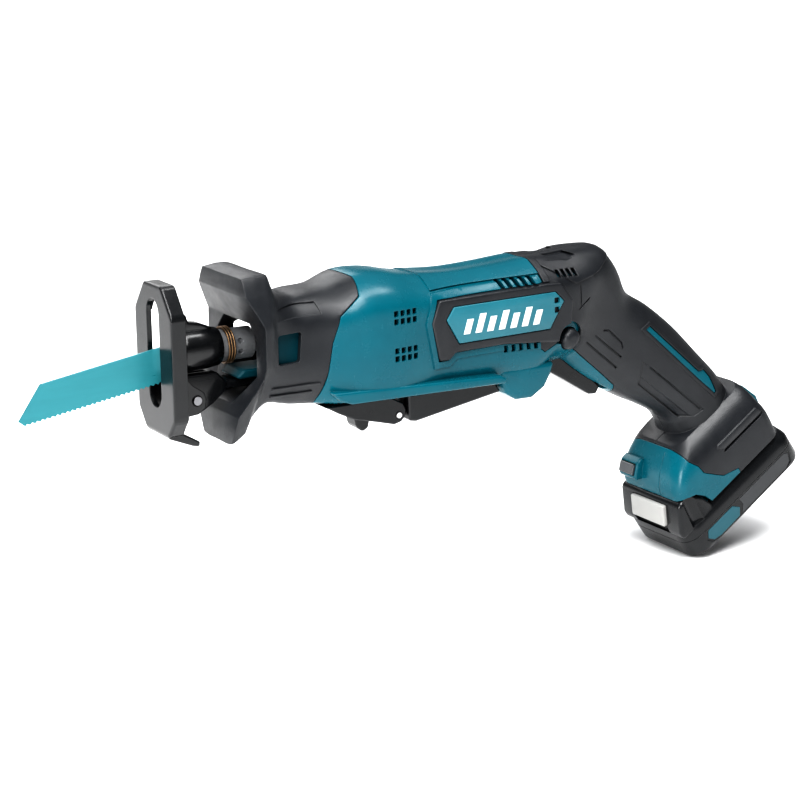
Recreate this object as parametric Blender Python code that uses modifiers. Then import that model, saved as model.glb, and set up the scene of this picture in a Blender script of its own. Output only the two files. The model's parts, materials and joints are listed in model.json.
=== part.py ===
"""Cordless compact reciprocating saw with its slide-on battery, one object for each real piece.

The stroke axis is the X axis and the blade points to -X. Y = 0 is the mid-plane, +Z is up. The origin is
where the stroke axis leaves the front face of the shoe. Lengths below are in millimetres and become
metres when a mesh is made.
"""
import math

import bmesh
import bpy
from mathutils import Euler, Matrix, Vector

MM = 0.001
GAP = 0.3                      # clearance between pieces that touch
WIDE = 60.0                    # half-length of a cutter that runs right across the tool

# Drive
STROKE = 13.0
CRANK_R = STROKE / 2
CRANK_X = 104.0
MOTOR_Z = -3.0
GEAR_R = 22.0
GEAR_TEETH = 32
PINION_TEETH = 8
TOOTH_TIP, TOOTH_ROOT = -6.7, -9.9
ROD_R = 5.0

# Shells
SKIN = 1.5                     # soft over-moulded skin
WALL = 2.0                     # hard plastic core under the skin
HOLLOW = SKIN + GAP + WALL     # from the outer form to the hollow inside
BOOT_WALL = 2.8
FRAME_Y = 28.0                 # outer face of the raised badge frame

HOOK_PIN = (117.0, -41.0)      # (x, z) of the hanging hook's pin

# Battery foot: its own frame, tipped up at the rear
FOOT_TILT = math.radians(35.0)
FOOT_AT = (328.0, 0.0, -117.8)
BATTERY_W = 27.0
SHOULDER_Z = 19.0
BLOCK_Z = 32.8
FOOT_LOW = 20.7
TEAL_FOOT = ((-60, 80), (-17, 80), (-17, 47), (-14.5, 42), (-14, 37), (-5.5, 27), (4, 23.4), (4, 5), (-60, 5))
LAMP_HOOD = ((-30, 38), (-35, 40.5), (-35, 43), (-29.5, 48.2), (-25, 48.5), (-24, 38))   # side view, foot's frame
LAMP_TURN = math.radians(-43.4)
LAMP_AT = (-32.3, 13.0, 45.6)

# Section shapes, top to bottom: (share of the height, share of the half-width)
SECTIONS = {
    "collar": ((0, 0), (0.0, 0.68), (0.13, 0.86), (0.32, 1.0), (0.60, 1.0), (0.99, 0.50), (1, 0)),
    "neck": ((0, 0), (0.02, 0.55), (0.18, 0.93), (0.42, 1.0), (0.72, 1.0), (0.97, 0.66), (1, 0)),
    "gear": ((0, 0), (0.03, 0.50), (0.19, 0.93), (0.42, 1.0), (0.82, 1.0), (0.98, 0.84), (1, 0)),
    "motor": ((0, 0), (0.005, 0.42), (0.17, 0.98), (0.50, 1.0), (0.84, 1.0), (0.99, 0.80), (1, 0)),
    "cap": ((0, 0), (0.02, 0.50), (0.20, 0.96), (0.50, 1.0), (0.78, 1.0), (0.97, 0.70), (1, 0)),
    "grip": ((0, 0), (0.06, 0.60), (0.25, 0.94), (0.50, 1.0), (0.75, 0.94), (0.95, 0.56), (1, 0)),
}

# Stations along the tool: top point (x, z), bottom point (x, z), half-width, section
STATIONS = (
    ((27, 33.0), (25.5, -45.4), 29.5, "collar"),
    ((34, 33.6), (32, -44.2), 30.0, "collar"),
    ((42, 34.8), (37.5, -40.2), 30.3, "collar"),
    ((47.8, 34.6), (41.2, -33), 29.8, "collar"),
    ((54, 26.8), (48, -27.2), 26.4, "neck"),
    ((63, 21.6), (61, -29.6), 24.8, "neck"),
    ((72, 22.2), (72, -30.7), 25.0, "neck"),
    ((84, 23.6), (84, -31), 27.3, "gear"),
    ((98, 28.2), (98, -31.1), 30.0, "gear"),
    ((112, 28.2), (112, -31.4), 30.3, "gear"),
    ((126, 25.4), (126, -31.5), 28.0, "gear"),
    ((140, 23.2), (140, -31.3), 25.4, "motor"),
    ((156, 22.4), (156, -31.1), 25.0, "motor"),
    ((176, 23.2), (174, -30.9), 25.0, "motor"),
    ((195, 24.6), (193, -30.5), 25.0, "motor"),
    ((213, 25.2), (204, -28), 24.8, "cap"),
    ((230, 26.4), (211, -27), 23.6, "cap"),
    ((242, 26.1), (218, -29.5), 21.0, "grip"),
    ((251, 17.0), (226.3, -36), 18.8, "grip"),
    ((258, 2.6), (236, -42.6), 17.9, "grip"),
    ((272.7, -6.9), (246.6, -48.6), 17.5, "grip"),
    ((288, -19), (259.2, -55.3), 17.5, "grip"),
    ((303, -34), (272.9, -61.7), 17.8, "grip"),
    ((317.4, -48.9), (284.6, -69), 18.2, "grip"),
    ((326, -62), (291.5, -82), 18.6, "grip"),
)
NECK_FROM, NECK_TO = 0, 10
HOUSING_FROM = 6
LINER_FROM, LINER_TO = 4, 8
CORE_FROM = 9
LAST = len(STATIONS) - 1

# Side-view outlines (x, z)
BOOT_ZONE = ((10, 70), (92, 70), (92, 33), (97, 27), (94, 20), (83, 12), (78.5, 0), (76, -13),
             (72.5, -27), (71.5, -70), (10, -70))
COLLAR_FRONT = ((10, 70), (35.5, 70), (35, 26), (42, 12), (42, -12), (31, -30), (29.5, -70), (10, -70))
SKIN_ZONE = ((196, 60), (196, 15.5), (135, 14), (131, 3), (135, -16), (141, -16), (144.5, -12.8),
             (172, -12), (190, -13.5), (197, -19), (204, -15.5), (213, -18), (222, -23.5), (248.5, -45.5),
             (251.5, -53), (253, -70), (252, -140), (420, -140), (420, 60))
FRAME = ((196, 15.3), (135.2, 13.7), (131.4, 3), (135.3, -15.7), (140.8, -15.7), (144.4, -12.5),
         (172, -11.7), (190, -13.2), (204, -14.5), (211, -7), (212, 5), (205, 15))
BADGE = ((139, 4), (143, 10), (201, 11), (206, 6), (198, -7), (146, -8))
STRIPE = ((264.2, -17.4), (267, -16.2), (297.9, -43.6), (302, -43.4), (305.6, -47.4), (309, -55.6), (308, -56.2), (298.3, -48))
LEDGE = ((76, -23), (168, -26.2), (171.5, -28), (171.5, -30.4), (86, -29.4), (80, -27))
LOBE = ((172, -28), (176.2, -38), (182, -41.8), (191, -42.0), (198.5, -37.4), (202, -31.5), (204.5, -25), (172, -25))
LINER_FRONT = ((30, 70), (64, 70), (64, 9.4), (51.5, 8.6), (51.5, -8.6), (64, -9.4), (64, -70), (30, -70))
BOOT_HOLE = ((-13, 11), (13, 11), (19, 5), (19, -12), (8.5, -22.5), (-8.5, -22.5), (-19, -12), (-19, 5))  # (y, z)
BOOT_FLARE = ((10, 1.35), (36, 1.12), (46, 1.0), (58, 1.0))    # place along the tool, and how much the hole grows there
BOOT_WINDOW = ((49.6, 7.0), (63.2, 7.0), (61.6, -6.8), (49.6, -6.8))
TRIGGER_MOUTH = ((207, -20), (203, -33), (214, -60), (244, -57), (249, -43), (228, -14.5), (214, -14))

# Fasteners of the housing halves: (x, z, depth of the head's seat from the mid-plane)
SHELL_SCREWS = ((189.0, -35.0, 9.0), (226.0, 15.0, 11.0), (246.5, 2.0, 7.8), (302.0, -57.0, 11.8))


def collection(name):
    group = bpy.data.collections.new(name)
    bpy.context.scene.collection.children.link(group)
    return group


for leftover in list(bpy.data.objects):
    bpy.data.objects.remove(leftover)
PARTS = collection("reciprocating_saw")
CUTTERS = collection("cutters")


# Materials
def material(name, colour, roughness, metallic=0.0):
    made = bpy.data.materials.new(name)
    made.use_nodes = True
    shader = made.node_tree.nodes["Principled BSDF"]
    shader.inputs["Base Color"].default_value = (*colour, 1.0)
    shader.inputs["Roughness"].default_value = roughness
    shader.inputs["Metallic"].default_value = metallic
    return made


TEAL = material("teal_plastic", (0.0, 0.215, 0.265), 0.32)
RUBBER = material("charcoal_elastomer", (0.035, 0.037, 0.040), 0.62)
BLACK = material("black_plastic", (0.012, 0.012, 0.013), 0.30)
PAINT = material("black_enamel_steel", (0.015, 0.016, 0.018), 0.22)
BLADE_PAINT = material("teal_blade_paint", (0.01, 0.36, 0.42), 0.35)
STEEL = material("bright_steel", (0.60, 0.60, 0.60), 0.30, 1.0)
DARK_STEEL = material("dark_steel", (0.16, 0.16, 0.17), 0.40, 1.0)
COPPER = material("copper_spring_wire", (0.55, 0.28, 0.13), 0.35, 1.0)
BRONZE = material("sintered_bronze", (0.45, 0.30, 0.14), 0.50, 1.0)
ALLOY = material("cast_alloy", (0.45, 0.46, 0.47), 0.50, 1.0)
MAGNET = material("ferrite", (0.05, 0.05, 0.05), 0.60)
WINDING = material("copper_winding", (0.50, 0.22, 0.08), 0.45, 1.0)
WHITE = material("off_white_plastic", (0.70, 0.69, 0.66), 0.45)
LENS = material("clear_lens", (0.85, 0.87, 0.88), 0.12)
BOARD = material("circuit_board", (0.02, 0.16, 0.06), 0.50)
CELL = material("cell_sleeve", (0.10, 0.25, 0.45), 0.40)
BRASS = material("brass_contact", (0.60, 0.42, 0.15), 0.35, 1.0)


AXES = {"X": (1, 0, 0), "Y": (0, 1, 0), "Z": (0, 0, 1)}


# Shapes
def add(name, mesh, paint, parent=None, cutter=False):
    made = bpy.data.objects.new(name, mesh)
    (CUTTERS if cutter else PARTS).objects.link(made)
    made.parent = parent
    if cutter:
        made.hide_render = True
        made.display_type = "WIRE"
    elif paint:
        mesh.materials.append(paint)
    return made


def mesh_from(bm, name):
    bmesh.ops.recalc_face_normals(bm, faces=bm.faces)
    mesh = bpy.data.meshes.new(name)
    bm.to_mesh(mesh)
    bm.free()
    return mesh


def smooth(thing, angle=40.0):
    thing.data.shade_smooth()
    thing.data.set_sharp_from_angle(angle=math.radians(angle))
    return thing


def box(name, low, high, paint=None, parent=None, cutter=False, round_by=0.0):
    """A block between two corners, with its edges rounded by round_by."""
    bm = bmesh.new()
    size = [(b - a) * MM for a, b in zip(low, high)]
    middle = [(a + b) / 2 * MM for a, b in zip(low, high)]
    bmesh.ops.create_cube(bm, size=1.0, matrix=Matrix.Translation(middle) @ Matrix.Diagonal((*size, 1.0)))
    made = add(name, mesh_from(bm, name), paint, parent, cutter)
    if round_by:
        rounded(made, round_by)
    return made


def rounded(thing, width, segments=2, angle=35.0):
    edge = thing.modifiers.new("rounded_edges", "BEVEL")
    edge.width = width * MM
    edge.segments = segments
    edge.limit_method = "ANGLE"
    edge.angle_limit = math.radians(angle)
    return thing


def cylinder(name, start, axis, radius, length, paint=None, parent=None, cutter=False, sides=24, end_radius=None):
    """A cylinder or cone from a start point along axis 'X', 'Y', 'Z' or a vector."""
    bm = bmesh.new()
    way = Vector(AXES[axis] if isinstance(axis, str) else axis).normalized()
    turn = way.to_track_quat("Z", "Y").to_matrix().to_4x4()
    middle = (Vector(start) + way * length / 2) * MM
    end = radius if end_radius is None else end_radius
    bmesh.ops.create_cone(bm, cap_ends=True, segments=sides, radius1=radius * MM, radius2=end * MM,
                          depth=length * MM, matrix=Matrix.Translation(middle) @ turn)
    made = add(name, mesh_from(bm, name), paint, parent, cutter)
    return smooth(made)


def prism(name, outline, near, far, paint=None, parent=None, cutter=False):
    """A side-view outline (x, z) carried across the tool from y = near to y = far."""
    bm = bmesh.new()
    face = bm.faces.new([bm.verts.new((x * MM, near * MM, z * MM)) for x, z in outline])
    moved = bmesh.ops.extrude_face_region(bm, geom=[face])["geom"]
    points = [item for item in moved if isinstance(item, bmesh.types.BMVert)]
    bmesh.ops.translate(bm, verts=points, vec=(0, (far - near) * MM, 0))
    return add(name, mesh_from(bm, name), paint, parent, cutter)


def turned(name, profile, place, turn=(0, 0, 0), paint=None, parent=None, sides=28, cutter=False):
    """A closed profile (radius, height), outer side top to bottom first, turned about Z by a Screw modifier."""
    mesh = bpy.data.meshes.new(name)
    count = len(profile)
    mesh.from_pydata([(r * MM, 0, h * MM) for r, h in profile], [(i, (i + 1) % count) for i in range(count)], [])
    made = add(name, mesh, paint, parent, cutter)
    made.location = Vector(place) * MM
    made.rotation_euler = Euler(turn)
    screw = made.modifiers.new("turned", "SCREW")
    screw.steps = sides
    screw.render_steps = sides
    screw.use_merge_vertices = True
    screw.merge_threshold = 0.00001
    screw.use_smooth_shade = True
    return made


ALONG_X = (0, math.radians(90), 0)       # turns a Z-axis piece to lie along +X
ALONG_Y = (math.radians(-90), 0, 0)      # turns a Z-axis piece to lie along +Y


def ring(name, x, y, z, axis_turn, outer, inner, length, paint, parent=None, sides=24):
    profile = ((outer, length), (outer, 0), (inner, 0), (inner, length))
    return turned(name, profile, (x, y, z), axis_turn, paint, parent, sides)


def join_shape(target, tool, how="UNION", solver="EXACT"):
    step = target.modifiers.new(tool.name, "BOOLEAN")
    step.operation = how
    step.object = tool
    step.solver = solver
    return target


def cut(target, *tools, solver="EXACT"):
    for tool in tools:
        join_shape(target, tool, "DIFFERENCE", solver)
    return target


def keep(target, *tools):
    for tool in tools:
        join_shape(target, tool, "INTERSECT")
    return target


def fuse(target, *tools, solver="EXACT"):
    for tool in tools:
        join_shape(target, tool, "UNION", solver)
    return target


def merged(name, pieces):
    """One cutter mesh from several separate cutter objects."""
    bm = bmesh.new()
    for piece in pieces:
        copy = piece.data.copy()
        copy.transform(piece.matrix_basis)
        bm.from_mesh(copy)
        bpy.data.meshes.remove(copy)
        bpy.data.objects.remove(piece)
    mesh = bpy.data.meshes.new(name)
    bm.to_mesh(mesh)
    bm.free()
    return add(name, mesh, None, cutter=True)


def offset_outline(outline, by):
    """The outline moved outwards by a distance, with mitred corners."""
    area = sum(a[0] * b[1] - b[0] * a[1] for a, b in zip(outline, outline[1:] + outline[:1]))
    side = 1.0 if area > 0 else -1.0
    moved = []
    for i, here in enumerate(outline):
        before = Vector(here) - Vector(outline[i - 1])
        after = Vector(outline[(i + 1) % len(outline)]) - Vector(here)
        n1 = Vector((before.y, -before.x)).normalized() * side
        n2 = Vector((after.y, -after.x)).normalized() * side
        mitre = (n1 + n2).normalized()
        moved.append(tuple(Vector(here) + mitre * (by / max(0.35, mitre.dot(n1)))))
    return moved


def spline(points, steps, closed):
    """Points on a smooth curve through the given points."""
    count = len(points)
    spans = count if closed else count - 1
    out = []
    for i in range(spans):
        picks = []
        for k in (i - 1, i, i + 1, i + 2):
            picks.append(points[k % count] if closed else points[min(max(k, 0), count - 1)])
        a, b, c, d = picks
        for j in range(steps):
            t = j / steps
            out.append(0.5 * (2 * b + (c - a) * t + (2 * a - 5 * b + 4 * c - d) * t * t
                              + (3 * b - a - 3 * c + d) * t ** 3))
    if not closed:
        out.append(points[-1])
    return out


def loft(name, rings, paint=None, parent=None, cutter=False):
    """A closed solid through rings of equal length, with flat ends."""
    bm = bmesh.new()
    rows = [[bm.verts.new(p * MM) for p in points] for points in rings]
    for one, two in zip(rows, rows[1:]):
        for k in range(len(one)):
            nxt = (k + 1) % len(one)
            bm.faces.new((one[k], one[nxt], two[nxt]))
            bm.faces.new((one[k], two[nxt], two[k]))
    bm.faces.new(rows[0])
    bm.faces.new(rows[-1])
    return smooth(add(name, mesh_from(bm, name), paint, parent, cutter), 50)


def station_ring(station, inset, reach=0.0):
    (tx, tz), (bx, bz), half, section = station
    top, bottom = Vector((tx, 0, tz)), Vector((bx, 0, bz))
    down = (bottom - top).normalized()
    onward = Vector((-down.z, 0, down.x)) * reach
    top, bottom = top + down * inset + onward, bottom - down * inset + onward
    left = [top.lerp(bottom, s) + Vector((0, -w * (half - inset), 0)) for s, w in SECTIONS[section]]
    right = [Vector((p.x, -p.y, p.z)) for p in left[-2:0:-1]]
    return left + right


def body_form(name, inset, first, last, reach=0.0, cutter=True, paint=None, around=2):
    """The outer form of neck, body and handle between two stations, moved inwards by inset."""
    rings = []
    for i in range(first, last + 1):
        points = station_ring(STATIONS[i], inset, reach if i == LAST else 0.0)
        rings.append(spline(points, around, True))
    return loft(name, rings, paint, cutter=cutter)


def round_rect(x0, x1, half, radius, z, per_corner=3):
    """A ring of points around a rounded rectangle at height z."""
    points = []
    corners = ((x1 - radius, half - radius, 0), (x0 + radius, half - radius, 90),
               (x0 + radius, radius - half, 180), (x1 - radius, radius - half, 270))
    for cx, cy, start in corners:
        for k in range(per_corner + 1):
            angle = math.radians(start + 90 * k / per_corner)
            points.append(Vector((cx + radius * math.cos(angle), cy + radius * math.sin(angle), z)))
    return points


def half_space(name, side):
    """The cutter that leaves one half of a shell: side -1 keeps the left half."""
    low, high = ((-50, -GAP / 2, -200), (420, WIDE, 90)) if side < 0 else ((-50, -WIDE, -200), (420, GAP / 2, 90))
    return box(name, low, high, cutter=True)


LEFT_ONLY = half_space("keep_left", -1)
RIGHT_ONLY = half_space("keep_right", 1)
SIDES = (("left", -1, LEFT_ONLY), ("right", 1, RIGHT_ONLY))


def frame_empty():
    made = bpy.data.objects.new("foot_frame", None)
    PARTS.objects.link(made)
    made.location = Vector(FOOT_AT) * MM
    made.rotation_euler = Euler((0, -FOOT_TILT, 0))
    return made


FOOT = frame_empty()


# Openings in the shells
def vent_cutter():
    """Every cooling slot on both sides as one cutter."""
    pieces = []
    for side in (-1, 1):
        low, high = sorted((side * 34.0, side * 22.0))
        for column in range(4):
            x = 109.0 + 3.6 * column
            for row in (5.6, 9.4, -12.0, -8.2):
                pieces.append(box("vent", (x, low, row), (x + 2.5, high, row + 2.8), cutter=True))
        low, high = sorted((side * 34.0, side * 12.0))
        for slot in range(5):
            x = 172.0 + 4.3 * slot
            pieces.append(box("vent", (x, low, 14.6), (x + 2.5, high, 18.6), cutter=True))
            pieces.append(box("vent", (x + 1, low, -16.4), (x + 3.3, high, -12.6), cutter=True))
        for slot in range(4):
            x = 206.5 + 3.1 * slot
            pieces.append(box("vent", (x, low, 16.4), (x + 1.9, high, 19.8), cutter=True))
    return merged("vents", pieces)


def hard_housing():
    """The two teal halves: full thickness where teal shows, a core under the soft skin elsewhere."""
    boot_edge = prism("boot_edge", offset_outline(BOOT_ZONE, GAP / 2), -WIDE, WIDE, cutter=True)
    skin_edge = prism("skin_edge", offset_outline(SKIN_ZONE, GAP / 2), -WIDE, WIDE, cutter=True)
    cut(skin_edge, prism("stripe", STRIPE, -WIDE - 1, WIDE + 1, cutter=True))
    core = body_form("core_form", SKIN + GAP, CORE_FROM, LAST, -1.0, around=1)
    hollow = body_form("hollow_form", HOLLOW, LINER_TO - 1, LAST, 4.0, around=1)
    liner = body_form("liner_form", BOOT_WALL + GAP, LINER_FROM, LINER_TO)
    liner_hollow = body_form("liner_hollow", BOOT_WALL + GAP + WALL, LINER_FROM - 1, LINER_TO)
    liner_front = prism("liner_front", LINER_FRONT, -WIDE, WIDE, cutter=True)
    liner_far = box("liner_far", (45, 10, -12), (60.5, WIDE, 12), cutter=True)
    ledge = rounded(prism("ledge", LEDGE, -30.6, 30.6, cutter=True), 1.2)
    lobe = rounded(prism("lobe", LOBE, -23.5, 23.5, cutter=True), 3.0, 3)
    mouth = prism("trigger_mouth", TRIGGER_MOUTH, -7.2, 7.2, cutter=True)
    lobe_hollow = prism("lobe_hollow", ((177, -24), (179, -35), (184, -37), (196, -33), (199, -24)), -20, 20,
                        cutter=True)
    vents = vent_cutter()
    bosses = [cylinder(f"boss_{i}", (x, -seat - 3, z), "Y", 5.0, 2 * seat + 6, cutter=True, sides=14)
              for i, (x, z, seat) in enumerate(SHELL_SCREWS)]
    seats = [cylinder(f"seat_{i}", (x, seat, z), "Y", 3.6, 40, cutter=True, sides=16)
             for i, (x, z, seat) in enumerate(SHELL_SCREWS)]
    bores = [cylinder(f"bore_{i}", (x, -seat, z), "Y", 1.8, 2 * seat + 5, cutter=True, sides=12)
             for i, (x, z, seat) in enumerate(SHELL_SCREWS)]
    button_bore = cylinder("button_bore", (212.5, -WIDE, -14.5), "Y", 5.9, 2 * WIDE, cutter=True, sides=20)
    for side_name, side, half in SIDES:
        shell = body_form(f"housing_{side_name}", 0.0, HOUSING_FROM, LAST, -1.0, cutter=False, paint=TEAL)
        cut(shell, boot_edge, skin_edge, solver="MANIFOLD")
        fuse(shell, core, liner, ledge, lobe, solver="MANIFOLD")
        cut(shell, liner_front, liner_far, hollow, liner_hollow, lobe_hollow, solver="MANIFOLD")
        fuse(shell, *bosses, solver="MANIFOLD")
        cut(shell, mouth, vents, button_bore, *bores, solver="MANIFOLD")
        if side > 0:
            cut(shell, *seats, solver="MANIFOLD")
        cut(shell, half, solver="MANIFOLD")
    return vents, mouth, button_bore


def soft_grip(vents, mouth, button_bore):
    """The two black skins: rear cap, badge frame, handle and the foot that holds the battery."""
    zone = prism("skin_zone", offset_outline(SKIN_ZONE, -GAP / 2), -WIDE, WIDE, cutter=True)
    stripe_edge = prism("stripe_edge", offset_outline(STRIPE, GAP), -WIDE, WIDE, cutter=True)
    inner = body_form("skin_inner", SKIN, CORE_FROM, LAST, -0.6, around=1)
    foot = foot_form("foot_solid", True)
    cut(foot, teal_zone("teal_zone_wide", GAP / 2), front_relief(), channel())
    cut(foot, box("foot_room", (-11, -13, 30), (26, 13, 49.5), parent=FOOT, cutter=True))
    seats = [cylinder(f"skin_seat_{i}", (x, seat, z), "Y", 3.6, 40, cutter=True, sides=16)
             for i, (x, z, seat) in enumerate(SHELL_SCREWS)]
    for side_name, side, half in SIDES:
        raised = prism(f"frame_{side_name}", FRAME, side * FRAME_Y, side * 21.0, cutter=True)
        rounded(raised, 0.8)
        window = prism(f"badge_seat_{side_name}", offset_outline(BADGE, GAP), side * 40, side * 26.6, cutter=True)
        skin = body_form(f"grip_{side_name}", 0.0, CORE_FROM, LAST, 0.0, cutter=False, paint=RUBBER)
        keep(skin, zone)
        fuse(skin, raised, foot)
        cut(skin, inner)
        cut(skin, window, stripe_edge, mouth, vents, button_bore)
        if side > 0:
            cut(skin, *seats)
        cut(skin, half)
        badge = prism(f"badge_{side_name}", BADGE, side * (FRAME_Y + 0.5), side * 26.9, TEAL)
        rounded(badge, 0.4, 1)


def foot_form(name, cutter, paint=None):
    """The foot that spreads from the handle to the battery, in the foot's own frame."""
    rows = [round_rect(-34, 36, 27, 7, FOOT_LOW), round_rect(-34, 37, 27, 7, 34), round_rect(-29, 36.2, 26, 8, 43),
            round_rect(-21, 36, 22.5, 9, 50), round_rect(-15.5, 35, 18, 9, 54)]
    return loft(name, rows, paint, FOOT, cutter)


def teal_zone(name, grow):
    return prism(name, offset_outline(TEAL_FOOT, grow), -WIDE, WIDE, parent=FOOT, cutter=True)


def front_relief():
    """Clears the front block of the battery, which fills the width of the foot."""
    outline = ((-60, -10), (-60, 33.2), (-30, 33.2), (-24.5, 31), (-20.3, 26), (-18.2, 20), (-18.2, -10))
    return prism("front_relief", outline, -WIDE, WIDE, parent=FOOT, cutter=True)


def channel():
    return box("channel", (-70, -21.4, 0), (29, 21.4, 33.2), parent=FOOT, cutter=True)


def foot_cover():
    """Teal front of the foot, with the lamp that lights the blade."""
    cover = foot_form("foot_cover", False, TEAL)
    keep(cover, teal_zone("teal_zone", -GAP / 2))
    fuse(cover, rounded(prism("lamp_hood", LAMP_HOOD, 5.5, 20.5, parent=FOOT, cutter=True), 1.0))
    cut(cover, bpy.data.objects["front_relief"], bpy.data.objects["channel"])
    cut(cover, box("cover_room", (-26, -19, 36), (-10, 19, 44), parent=FOOT, cutter=True))
    seat = box("lamp_seat", (-3.2, -6.3, -3.3), (3.2, 6.3, 9), parent=FOOT, cutter=True)
    seat.location = Vector(LAMP_AT) * MM
    seat.rotation_euler = Euler((0, LAMP_TURN, 0))
    cut(cover, seat)
    lens = box("lamp_lens", (-2.9, -6, -0.6), (2.9, 6, 1.2), LENS, FOOT, round_by=0.4)
    board = box("lamp_board", (-2.9, -6, -3.0), (2.9, 6, -0.9), BOARD, FOOT)
    for piece in (lens, board):
        piece.location = seat.location
        piece.rotation_euler = seat.rotation_euler


# Nose
def nose_boot():
    """The rubber cover of the neck with its flared, hourglass-edged collar."""
    boot = body_form("nose_boot", 0.0, NECK_FROM, NECK_TO, cutter=False, paint=RUBBER)
    keep(boot, prism("boot_zone", offset_outline(BOOT_ZONE, -GAP / 2), -WIDE, WIDE, cutter=True))
    cut(boot, prism("collar_front", COLLAR_FRONT, -WIDE, WIDE, cutter=True))
    cut(boot, body_form("boot_inner", BOOT_WALL, 4, NECK_TO))
    cut(boot, loft("boot_hole", [[Vector((x, y * grow, z * grow)) for y, z in BOOT_HOLE] for x, grow in BOOT_FLARE],
                   cutter=True))
    cut(boot, prism("boot_window", BOOT_WINDOW, -WIDE, WIDE, cutter=True))


def gear_case():
    """Cast housing of the crank gear with the nose that guides the plunger, and its lid."""
    case = cylinder("gear_case", (CRANK_X, 0, -21), "Z", 24.6, 31.5, ALLOY, sides=36)
    nose = rounded(box("case_nose", (62, -12.5, -21), (CRANK_X, 12.5, 12), cutter=True), 3.0, 1)
    rear = box("case_rear", (CRANK_X, -13, -20), (131.2, 13, 10.5), cutter=True)
    fuse(case, nose, rear)
    cut(case, cylinder("gear_room", (CRANK_X, 0, -17.5), "Z", 23.0, 40, cutter=True, sides=36))
    cut(case, box("yoke_room", (84, -14.5, -5), (CRANK_X, 14.5, 40), cutter=True))
    cut(case, cylinder("bush_seat", (55, 0, 0), "X", 8.3, 28, cutter=True))
    cut(case, cylinder("rod_bore", (80, 0, 0), "X", 5.6, 20, cutter=True))
    cut(case, cylinder("bearing_seat", (122, 0, MOTOR_Z), "X", 6.9, 12, cutter=True))
    cut(case, cylinder("lid_seat", (CRANK_X, 0, 10.5), "Z", 23.8, 20, cutter=True, sides=36))
    cut(case, cylinder("crank_seat", (CRANK_X, 0, -19.8), "Z", 8.3, 6, cutter=True))
    cut(case, box("bar_slot", (50, -6.6, -19.4), (83, 6.6, -15.6), cutter=True))
    cylinder("gear_case_lid", (CRANK_X, 0, 10.8), "Z", 23.4, 2.6, ALLOY, sides=36)


def plunger():
    """The reciprocating rod with the slotted yoke that the crank pin drives."""
    rod = cylinder("plunger_rod", (44.4, 0, 0), "X", ROD_R, 54, STEEL, sides=20)
    yoke = rounded(box("yoke", (CRANK_X - 7.4, -13.2, -3.5), (CRANK_X + 7.4, 13.2, 3.5), cutter=True), 1.0, 1)
    fuse(rod, yoke)
    cut(rod, box("yoke_slot", (CRANK_X - 4.9, -10.2, -8), (CRANK_X + 4.9, 10.2, 8), cutter=True))
    ring("plunger_bush", 64.0, 0, 0, ALONG_X, 8.0, 5.3, 16.0, BRONZE)
    ring("plunger_seal", 58.6, 0, 0, ALONG_X, 8.0, 5.3, 5.0, RUBBER)


def crown_gear():
    """Crank gear with its teeth standing on the upper face near the rim."""
    count = GEAR_TEETH * 2
    rings = []
    for i in range(count):
        angle = 2 * math.pi * i / count
        top = TOOTH_ROOT if i % 2 else TOOTH_TIP
        profile = ((GEAR_R, top), (GEAR_R, -14), (10.0, -16.5), (3.0, -16.5), (3.0, -11.5), (15.5, -11.5), (15.5, top))
        rings.append([Vector((CRANK_X + r * math.cos(angle), r * math.sin(angle), z)) for r, z in profile])
    bm = bmesh.new()
    rows = [[bm.verts.new(p * MM) for p in points] for points in rings]
    for i, one in enumerate(rows):
        two = rows[(i + 1) % count]
        for k in range(len(one)):
            nxt = (k + 1) % len(one)
            bm.faces.new((one[k], two[k], two[nxt], one[nxt]))
    gear = smooth(add("crank_gear", mesh_from(bm, "crank_gear"), DARK_STEEL), 30)
    web = cylinder("gear_web", (CRANK_X, 0, -16.3), "Z", 4.5, 4.6, cutter=True)
    fuse(gear, web)
    cut(gear, cylinder("crank_pin_hole", (CRANK_X, CRANK_R, -20), "Z", 3.3, 20, cutter=True))
    fuse(gear, cylinder("gear_shaft", (CRANK_X, 0, -19.5), "Z", 3.2, 5, cutter=True, sides=16))


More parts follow.
